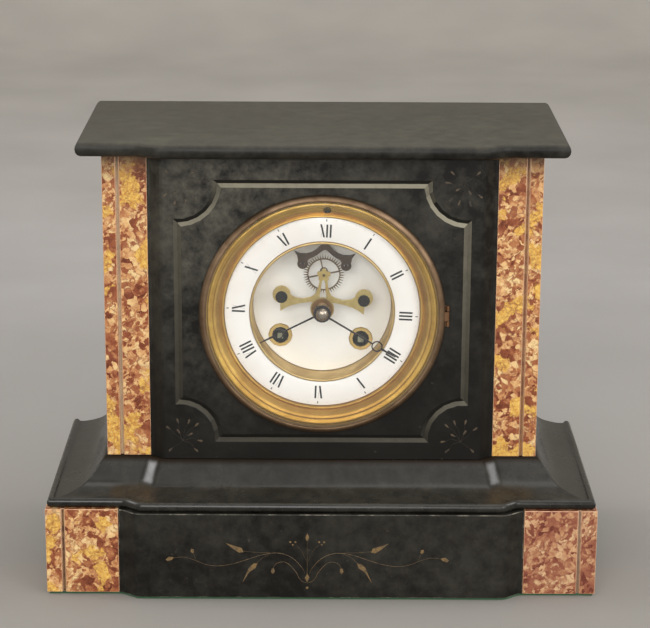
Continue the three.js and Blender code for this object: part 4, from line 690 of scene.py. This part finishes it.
class Fitting:
    """Small upright barrels and plates of a hinge, gathered into one mesh."""

    BLOCK_FACES = (
        (0, 1, 3, 2), (4, 6, 7, 5), (0, 4, 5, 1), (2, 3, 7, 6), (0, 2, 6, 4), (1, 5, 7, 3),
    )

    def __init__(self):
        self.points, self.faces = [], []

    def barrel(self, x, y, low, high, radius, sides=20):
        start, ease = len(self.points), 0.2
        levels = [
            (low, radius - ease), (low + ease, radius),
            (high - ease, radius), (high, radius - ease),
        ]
        for z, r in levels:
            for i in range(sides):
                a = 2 * math.pi * i / sides
                self.points.append((x + r * math.cos(a), y + r * math.sin(a), z))
        for k in range(len(levels) - 1):
            for i in range(sides):
                j = (i + 1) % sides
                a, b = start + k * sides, start + (k + 1) * sides
                self.faces.append((a + i, a + j, b + j, b + i))
        self.faces.append(tuple(range(start + sides - 1, start - 1, -1)))
        last = start + (len(levels) - 1) * sides
        self.faces.append(tuple(range(last, last + sides)))

    def block(self, x0, x1, y0, y1, z0, z1):
        start = len(self.points)
        self.points += [(x, y, z) for x in (x0, x1) for y in (y0, y1) for z in (z0, z1)]
        for face in self.BLOCK_FACES:
            self.faces.append(tuple(start + k for k in face))

    def finish(self, name, look, body, slot):
        new_piece(name, self.points, self.faces, look, body, DIAL)


def curve_through(points, steps=8):
    """A smooth line through the points."""
    ends = [points[0], *points, points[-1]]
    line = []
    for a, b, c, d in zip(ends, ends[1:], ends[2:], ends[3:]):
        for i in range(steps):
            t = i / steps
            line.append(tuple(
                0.5 * (2 * q + (r - p) * t + (2 * p - 5 * q + 4 * r - s) * t * t
                       + (3 * q - p - 3 * r + s) * t ** 3)
                for p, q, r, s in zip(a, b, c, d)
            ))
    line.append(tuple(points[-1]))
    return line


class Drawing:
    """Flat shapes on an upright face, gathered into one thin closed mesh."""

    def __init__(self, face, proud=0.12, sunk=0.15):
        self.face, self.proud, self.sunk = face, proud, sunk
        self.points, self.faces = [], []

    def polygon(self, outline):
        """A plate with the outline's corners, standing a little proud of the face."""
        start, count = len(self.points), len(outline)
        self.points += [(x, self.face - self.proud, z) for x, z in outline]
        self.points += [(x, self.face + self.sunk, z) for x, z in outline]
        self.faces.append(tuple(range(start, start + count)))
        self.faces.append(tuple(range(start + 2 * count - 1, start + count - 1, -1)))
        for i in range(count):
            j = (i + 1) % count
            self.faces.append((start + i, start + count + i, start + count + j, start + j))

    def stroke(self, points, widths, steps=8):
        """A ridge along a smooth line, its width running through the given ones."""
        line = curve_through(points, steps)
        start, last = len(self.points), len(line) - 1
        for i, (x, z) in enumerate(line):
            before, after = line[max(i - 1, 0)], line[min(i + 1, last)]
            dx, dz = after[0] - before[0], after[1] - before[1]
            length = math.hypot(dx, dz) or 1.0
            spot = i / last * (len(widths) - 1)
            k = min(int(spot), len(widths) - 2)
            half = (widths[k] + (widths[k + 1] - widths[k]) * (spot - k)) / 2
            nx, nz = -dz / length * half, dx / length * half
            self.points += [
                (x + nx, self.face + self.sunk, z + nz),
                (x, self.face - self.proud, z),
                (x - nx, self.face + self.sunk, z - nz),
            ]
        for i in range(last):
            a = start + 3 * i
            for k in range(3):
                n = (k + 1) % 3
                self.faces.append((a + k, a + n, a + 3 + n, a + 3 + k))
        end = start + 3 * last
        self.faces += [(start + 2, start + 1, start), (end, end + 1, end + 2)]

    def dot(self, x, z, radius, sides=10):
        turn = 2 * math.pi / sides
        self.polygon([
            (x + radius * math.cos(turn * i), z + radius * math.sin(turn * i)) for i in range(sides)
        ])

    def finish(self, name, look, body, place=None):
        new_piece(name, self.points, self.faces, look, body, place)


# Case
dress("base_felt", felt)
for name in ("base_front_panel", "base_side_right", "base_side_left", "base_back"):
    dress(name, slate, 0.5, slate_edge)
moulding("base_moulding_shaped", slate_gloss, "base_moulding")
dress("body_front_panel", slate_panel, smooth=CRISP)
for name in ("body_side_right", "body_side_left", "body_back"):
    dress(name, slate, 0.5, slate_edge)
dress("top_slab", slate_slab, 0.3, slate_edge)
dress("base_block_left", marble_base, 0.35, marble_edge)
dress("base_block_right", marble_rose, 0.35, marble_edge)
dress("pilaster_left", marble_left, 0.35, marble_edge)
dress("pilaster_right", marble_right, 0.35, marble_edge)

# Movement and everything behind the dial
for name in ("going_barrel", "strike_barrel", "intermediate_wheel", "centre_wheel", "third_wheel",
             "minute_wheel", "hour_wheel", "strike_second_wheel", "pin_wheel", "strike_fly",
             "back_plate", "pendulum_bob", "rating_nut", "suspension_cock",
             "strap_right", "strap_left"):
    dress(name, train_brass)
dress("front_plate", plate_brass)
for name in ("cannon_pinion", "hammer", "bell_stand", "pendulum_rod"):
    dress(name, steel)
for name in ("going_winding_arbor", "strike_winding_arbor"):
    dress(name, winding_steel)
dress("bell", bell_metal)
dress("escape_wheel", dark_brass)
dress("escape_cock", cock_brass, 0.2)
dress("pallet_anchor", bronze, 0.2)
for name in ("pallet_pin_right", "pallet_pin_left"):
    dress(name, agate)
for name in ("minute_hand", "hour_hand"):
    dress(name, blued, 0.1)
for name in ("cock_screw_right", "cock_screw_left"):
    dress(name, black_steel, 0.1)
dress("regulator_arbor", oily_steel)
dress("hand_nut", worn_steel)
for name in ("winding_grommet_right", "winding_grommet_left"):
    dress(name, gilt)

# Turned pieces of dial, bezel and back, as (radius, depth behind the panel's face)
REGULATOR = (0, 69.6, 2.6)  # hole for the square above XII
BEVEL = 70.6  # radius at which the glass starts to slope
KNOB = DIAL @ Matrix.Translation((-56 * MM, 0, 0))
turned("sight_ring_turned", [
    (79.6, -0.3), (79.6, -1.0), (75.0, -1.0), (74.75, -1.2), (74.4, -1.52), (74.0, -1.7),
    (73.4, -1.72), (72.8, -1.58), (72.4, -1.36), (72.0, -1.2), (71.5, -1.08), (71.2, -0.85),
    (70.9, -0.1), (70.7, 0.3), (70.4, 0.45), (69.6, 0.5), (69.2, 0.75), (68.6, 1.3),
    (67.9, 2.0), (67.2, 2.75), (66.6, 3.45), (66.1, 3.9), (65.8, 3.75), (65.55, 3.35),
    (65.2, 3.06), (64.8, 2.96), (64.4, 3.06), (64.1, 3.35), (64.0, 3.7), (64.0, 8.4),
    (71.7, 8.4), (71.7, -0.3),
], spun_gilt, "sight_ring", holes=[REGULATOR])
turned("bezel_ring_turned", [
    (80.0, -1.3), (80.0, -2.0), (79.85, -2.5), (79.55, -3.0), (79.15, -3.45), (78.6, -3.9),
    (78.0, -4.25), (77.45, -4.48), (76.9, -4.58), (76.4, -4.56), (76.1, -4.48), (76.0, -4.36),
    (76.0, -4.2), (76.5, -4.2), (76.5, -2.1), (75.3, -2.1), (75.3, -1.3),
], spun_brown, "bezel_ring", "bezel")
glass = turned("bezel_glass_turned", [
    (0.0, -3.9), (35.0, -3.9), (BEVEL, -3.9), (71.4, -3.86), (72.4, -3.74), (73.6, -3.54),
    (74.8, -3.3), (75.8, -3.08), (76.2, -2.9), (76.2, -2.4), (35.0, -2.4), (0.0, -2.4),
], clear_glass, "bezel_glass", "bezel")
glass.data.materials.append(bevel_glass)
for polygon in glass.data.polygons:
    from_axis = math.hypot(polygon.center.x, polygon.center.z - DIAL_Z * MM)
    polygon.material_index = int(from_axis > BEVEL * MM)
turned("hour_ring_turned", [
    (47.5, 8.4), (47.5, 6.35), (47.6, 6.12), (47.85, HOUR_RING_FACE), (63.3, HOUR_RING_FACE),
    (63.58, 6.12), (63.7, 6.35), (63.7, 8.4),
], enamel, "hour_ring", place=MOVEMENT)
turned("dial_pan_turned", [
    (45.8, 5.35), (45.92, 5.12), (46.2, 5.0), (46.8, 5.0), (47.08, 5.12), (47.2, 5.35),
    (47.2, 8.7), (71.3, 8.7), (71.3, 10.2), (47.2, 10.2), (47.2, 28.3), (44.0, 28.3),
    (44.0, 27.1), (45.8, 27.1),
], spun_pale, "dial_pan", place=MOVEMENT, holes=[REGULATOR])
turned("centre_dial_turned", [
    (0.0, 25.0), (22.0, 25.0), (45.2, 25.0), (45.5, 25.25), (45.5, 26.8), (22.0, 26.8),
    (0.0, 26.8),
], enamel_warm, "centre_dial", place=MOVEMENT, holes=[
    (0, 0, 4.7), (26.6, -22, 6.8), (-26.6, -22, 6.8), (27, 7.2, 4.6), (-27, 7.2, 4.6),
    (0, 22.9, 2.6), (0, 42.3, 2.2),
])
turned("back_ring_turned", [
    (53.0, 128.5), (61.2, 128.5), (61.2, 134.8), (67.0, 134.8), (67.0, 135.7), (66.7, 136.15),
    (66.2, 136.3), (60.6, 136.3), (60.2, 136.1), (60.0, 135.7), (60.0, 130.0), (53.0, 130.0),
], spun_brass, "back_ring")
turned("back_door_turned", [
    (0.0, 142.5), (14.0, 142.4), (26.0, 142.0), (34.0, 141.6), (38.0, 141.3), (42.0, 140.7),
    (48.0, 139.5), (54.0, 138.2), (56.0, 137.85), (57.0, 137.8), (63.2, 137.8), (63.8, 137.65),
    (64.0, 137.3), (64.0, 136.6), (55.0, 136.6), (46.0, 138.4), (37.4, 140.1), (20.0, 141.1),
    (0.0, 141.3),
], spun_brass, "back_door", "back_door")
turned("back_door_knob", [
    (0.0, 142.0), (1.4, 141.9), (2.3, 141.4), (2.6, 140.7), (2.5, 140.0), (1.6, 139.2),
    (1.4, 138.4), (1.5, 137.4), (0.0, 137.4),
], spun_brass, None, "back_door", KNOB, sides=32)

# Hinges: knuckles at each end on the fixed ring, one between them on the piece that swings.
# The plate and the web reach in to an x, and each lies between two depths.
KNUCKLE, LOOSE_HALF, FIXED_LOW, FIXED_END = 1.2, 3.0, 3.3, 7.0
for name, x, y, plate, web, body in (
    ("bezel_hinge", 81.5, -1.9, (78.1, -1.0, -0.3), (78.5, -3.1, -1.9), "bezel"),
    ("back_hinge", 68.0, 137.8, (65.4, 134.8, 137.8), (62.0, 136.6, 137.8), "back_door"),
):
    fixed, loose = Fitting(), Fitting()
    for low, high in ((FIXED_LOW, FIXED_END), (-FIXED_END, -FIXED_LOW)):
        fixed.barrel(x, y, low, high, KNUCKLE)
        fixed.block(plate[0], x, plate[1], plate[2], low, high)
    loose.barrel(x, y, -LOOSE_HALF, LOOSE_HALF, KNUCKLE)
    loose.block(web[0], x, web[1], web[2], -LOOSE_HALF, LOOSE_HALF)
    fixed.finish(name + "_fixed", brown_brass, "case", "bezel_brass")
    loose.finish(name + "_loose", brown_brass, body, "bezel_brass")

# Hour ring: numerals with thick and thin strokes, and the minute track
NUMERALS = ("XII", "I", "II", "III", "IIII", "V", "VI", "VII", "VIII", "IX", "X", "XI")
NUMERAL_RADIUS, NUMERAL_HEIGHT = 54.6, 8.6
THICK, THIN, LEAN = 1.2, 0.24, 1.15
WIDTH = {"I": 2.3, "V": 3.5, "X": 3.5}
BOLD_MARK, FINE_MARK = (0.36, 60.8, 62.4), (0.12, 61.2, 62.2)  # half width, inner, outer radius
MARK_TAPER = 0.6
STROKES = {
    "I": [(0, 0, THICK)],
    "V": [(-LEAN, 0.25, THICK), (LEAN, 0.0, THIN)],
    "X": [(-LEAN, LEAN, THICK), (LEAN, -LEAN, THIN)],
}


def on_dial(angle, radius, across):
    """A point of the dial at an angle from twelve, moved sideways."""
    s, c = math.sin(angle), math.cos(angle)
    return (radius * s + across * c, radius * c - across * s)


numbers = Drawing(HOUR_RING_FACE, proud=0.06)
hairlines = Drawing(HOUR_RING_FACE, proud=0.05)
low = NUMERAL_RADIUS - NUMERAL_HEIGHT / 2
high = NUMERAL_RADIUS + NUMERAL_HEIGHT / 2
for hour, text in enumerate(NUMERALS):
    angle = hour * math.pi / 6
    across = -sum(WIDTH[letter] for letter in text) / 2
    for letter in text:
        middle = across + WIDTH[letter] / 2
        for top, foot, wide in STROKES[letter]:
            target = numbers if wide == THICK else hairlines
            target.polygon([
                on_dial(angle, high, middle + top - wide / 2),
                on_dial(angle, high, middle + top + wide / 2),
                on_dial(angle, low, middle + foot + wide / 2),
                on_dial(angle, low, middle + foot - wide / 2),
            ])
        across += WIDTH[letter]
for minute in range(60):
    angle = minute * math.pi / 30
    bold = minute % 5 == 0
    half, inner, outer = BOLD_MARK if bold else FINE_MARK
    foot = half * MARK_TAPER
    (numbers if bold else hairlines).polygon([
        on_dial(angle, outer, -half), on_dial(angle, outer, half),
        on_dial(angle, inner, foot), on_dial(angle, inner, -foot),
    ])
numbers.finish("dial_numerals", ink, "case", MOVEMENT)
hairlines.finish("dial_hairlines", faint_ink, "case", MOVEMENT)

# Gilt scroll on the base, drawn for its left half and mirrored
SCROLL_X = -9.0
LINE = 0.74  # how much of its drawn width a line keeps
scroll = Drawing(BASE_FRONT, proud=0.1)
HALF_STROKES = [
    ([(0, 12), (-3.4, 13.2), (-5.6, 16), (-7, 19), (-11, 24), (-15, 26.6), (-20, 25.5),
      (-22.5, 21.5)],
     [0.5, 0.9, 0.9, 0.6]),
    ([(-1.6, 18.5), (-3, 22), (-8, 28), (-14, 31.6), (-21, 32.8), (-30, 31.3), (-42, 27.2),
      (-50, 24.8), (-58, 23.7), (-66, 24.6), (-73, 27.5), (-79, 29.5), (-84, 29.6), (-88, 28.8)],
     [0.5, 1.0, 0.9, 0.7, 0.6, 0.5]),
    ([(-24, 33), (-33, 33.2), (-41.5, 34)], [0.4, 0.5]),
    ([(-24, 32.2), (-29, 29.5), (-33, 25.5)], [0.4, 0.5]),
    ([(-72.5, 28), (-73.6, 31), (-74.5, 33)], [0.4, 0.4]),
    ([(-0.6, 27), (-3.5, 34), (-7, 38)], [0.3, 0.4]),
]
HALF_LEAVES = [
    [(-41.5, 33.4), (-44, 32.9), (-47, 34.6), (-53, 39.6), (-46.5, 37.4), (-42.6, 36.2)],
    [(-32.4, 25.6), (-33.6, 22.4), (-37.6, 19.6), (-42.3, 12), (-37.8, 22.8), (-35, 25.4)],
    [(-21.6, 22.2), (-21.2, 19.6), (-22.4, 18.2), (-23.6, 19.6), (-23.2, 22)],
    [(-73.6, 33), (-73.8, 35), (-75.4, 35.6), (-76, 34), (-75, 32.6)],
    [(-87, 29.6), (-90, 30), (-92.2, 28), (-91, 26.8), (-88, 27.8)],
]
HALF_DOTS = [(-11, 40.5, 0.7), (-7.7, 40.5, 0.7), (-9.4, 38.6, 0.6)]
for side in (1, -1):
    for points, widths in HALF_STROKES:
        scroll.stroke([(SCROLL_X + side * x, z) for x, z in points], [LINE * w for w in widths])
    for leaf in HALF_LEAVES:
        scroll.polygon([(SCROLL_X + side * x, z) for x, z in leaf])
    for x, z, radius in HALF_DOTS:
        scroll.dot(SCROLL_X + side * x, z, radius)
scroll.stroke([(SCROLL_X, 41.5), (SCROLL_X, 30), (SCROLL_X, 17.5)], [0.3, 0.4, 0.5])
scroll.polygon([
    (SCROLL_X, 46.8), (SCROLL_X - 1.1, 44), (SCROLL_X - 0.7, 41.6),
    (SCROLL_X + 0.7, 41.6), (SCROLL_X + 1.1, 44),
])
scroll.polygon([
    (SCROLL_X, 18.6), (SCROLL_X - 1.5, 15.8), (SCROLL_X, 12.4), (SCROLL_X + 1.5, 15.8),
])
scroll.dot(SCROLL_X, 8.7, 0.9)
scroll.finish("scroll_ornament", gilding, "case")

# Gilt sprays in the four corners of the body panel, round the middle of each scoop
SPRAY_X, SPRAY_LOW, SPRAY_HIGH = 91.5, 98.0, 269.0
SPRAY_BUDS = [
    (-3.2, 11.8), (4.0, 11.3), (9.2, 9.2), (4.9, 2.6), (11.4, -1.8),
    (-2.8, 4.6), (8.6, -8.2), (-8.0, -8.0), (-9.5, 7.0),
]
BUD = ((-2.2, 0), (-0.6, 0.5), (0.9, 0.74), (2.0, 0), (0.9, -0.74), (-0.6, -0.5))
STEM_ROOT, STEM_BOW, STEM_GAP = (0, -2), 0.8, 2
STEM_WIDTHS, STEM_STEPS = [0.5, 0.35], 5
buds = Drawing(PANEL_FRONT, proud=0.12)
stems = Drawing(PANEL_FRONT, proud=0.06)
for side in (1, -1):
    for level, up in ((SPRAY_LOW, 1), (SPRAY_HIGH, -1)):
        for x, z in SPRAY_BUDS:
            reach = math.hypot(x, z)
            dx, dz = x / reach, z / reach
            leaf = []
            for along, wide in BUD:
                u = x + along * dx - wide * dz
                v = z + along * dz + wide * dx
                leaf.append((side * (u - SPRAY_X), level + up * v))
            buds.polygon(leaf)
            bend = (0.5 * x - STEM_BOW * dz, 0.5 * z + STEM_BOW * dx)
            path = [STEM_ROOT, bend, (x - STEM_GAP * dx, z - STEM_GAP * dz)]
            path = [(side * (u - SPRAY_X), level + up * v) for u, v in path]
            stems.stroke(path, STEM_WIDTHS, STEM_STEPS)
buds.finish("spray_buds", old_gilding, "case")
stems.finish("spray_stems", incised, "case")

# Floor and backdrop in one sweep, in metres
FLOOR_FRONT, FLOOR_HALF, WALL, WALL_TOP = -4.0, 5.0, 2.8, 3.0
BEND, BEND_STEPS = 0.8, 12
sweep, sweep_faces = [], []
outline = [(FLOOR_FRONT, 0.0)]
for i in range(BEND_STEPS + 1):
    a = math.pi / 2 * i / BEND_STEPS
    outline.append((WALL - BEND + BEND * math.sin(a), BEND - BEND * math.cos(a)))
outline.append((WALL, WALL_TOP))
for y, z in outline:
    sweep += [(-FLOOR_HALF, y, z), (FLOOR_HALF, y, z)]
for i in range(len(outline) - 1):
    sweep_faces.append((2 * i, 2 * i + 1, 2 * i + 3, 2 * i + 2))
mesh = bpy.data.meshes.new("floor")
mesh.from_pydata(sweep, [], sweep_faces)
for polygon in mesh.polygons:
    polygon.use_smooth = True
mesh.materials.append(floor_grey)
floor = bpy.data.objects.new("floor", mesh)
bpy.context.scene.collection.objects.link(floor)


# Light: an even room, two large soft lamps at the front, weaker ones overhead, and narrow ones
# from the sides and the front
def lamp(name, place, target, size, power, spread=180):
    """A rectangular lamp aimed at a point, in metres, watts and degrees."""
    light = bpy.data.lights.new(name, "AREA")
    light.shape = "RECTANGLE"
    light.size, light.size_y = size
    light.energy = power
    light.spread = math.radians(spread)
    holder = bpy.data.objects.new(name, light)
    holder.location = place
    holder.rotation_euler = (Vector(target) - Vector(place)).to_track_quat("-Z", "Y").to_euler()
    bpy.context.scene.collection.objects.link(holder)


lamp("key", (-0.5, -2.5, 1.2), (0, 0, 0.15), (1.6, 1.2), 35.5)
lamp("fill", (1.6, -1.6, 1.0), (0, 0, 0.15), (1.2, 1.2), 20)
lamp("top", (0.1, 0.1, 1.9), (0, 0, 0.25), (1.6, 1.0), 9)
lamp("ceiling", (0.1, -0.9, 1.75), (0, 0, 0.2), (1.6, 0.9), 3)
lamp("left", (-1.2, 0.06, 0.84), (-0.11, -0.06, 0.08), (0.35, 0.7), 0.45, 40)
lamp("right", (1.2, 0.06, 0.84), (0.11, -0.06, 0.08), (0.35, 0.7), 0.32, 40)
lamp("front", (0.3, -2.6, 0.6), (0, 0, 0.18), (1.0, 0.6), 0.8, 60)
world = bpy.data.worlds.new("room")
world.use_nodes = True
room = world.node_tree.nodes["Background"].inputs
room["Color"].default_value = (1.0, 0.985, 0.96, 1.0)
room["Strength"].default_value = 0.5
bpy.context.scene.world = world
bpy.context.scene.view_settings.view_transform = "Standard"

# Camera at the photograph's place
EYE = Vector((0.0, -1476.9, 587.4)) * MM
YAW, PITCH, ROLL = 0.0013, 0.2762, 0.0048
FOCAL_PIXELS, IMAGE_WIDTH, SENSOR = 2282.0, 650, 36.0
level = math.cos(PITCH)
ahead = Vector((math.sin(YAW) * level, math.cos(YAW) * level, -math.sin(PITCH)))
right = ahead.cross(Vector((0, 0, 1))).normalized()
up = right.cross(ahead)
right, up = (
    right * math.cos(ROLL) + up * math.sin(ROLL),
    up * math.cos(ROLL) - right * math.sin(ROLL),
)
camera_data = bpy.data.cameras.new("camera")
camera_data.sensor_width = SENSOR
camera_data.lens = FOCAL_PIXELS / IMAGE_WIDTH * SENSOR
camera_data.clip_start, camera_data.clip_end = 0.05, 20
camera = bpy.data.objects.new("camera", camera_data)
aim = Matrix((right, up, -ahead)).transposed().to_4x4()
camera.matrix_world = Matrix.Translation(EYE) @ aim
bpy.context.scene.collection.objects.link(camera)
bpy.context.scene.camera = camera
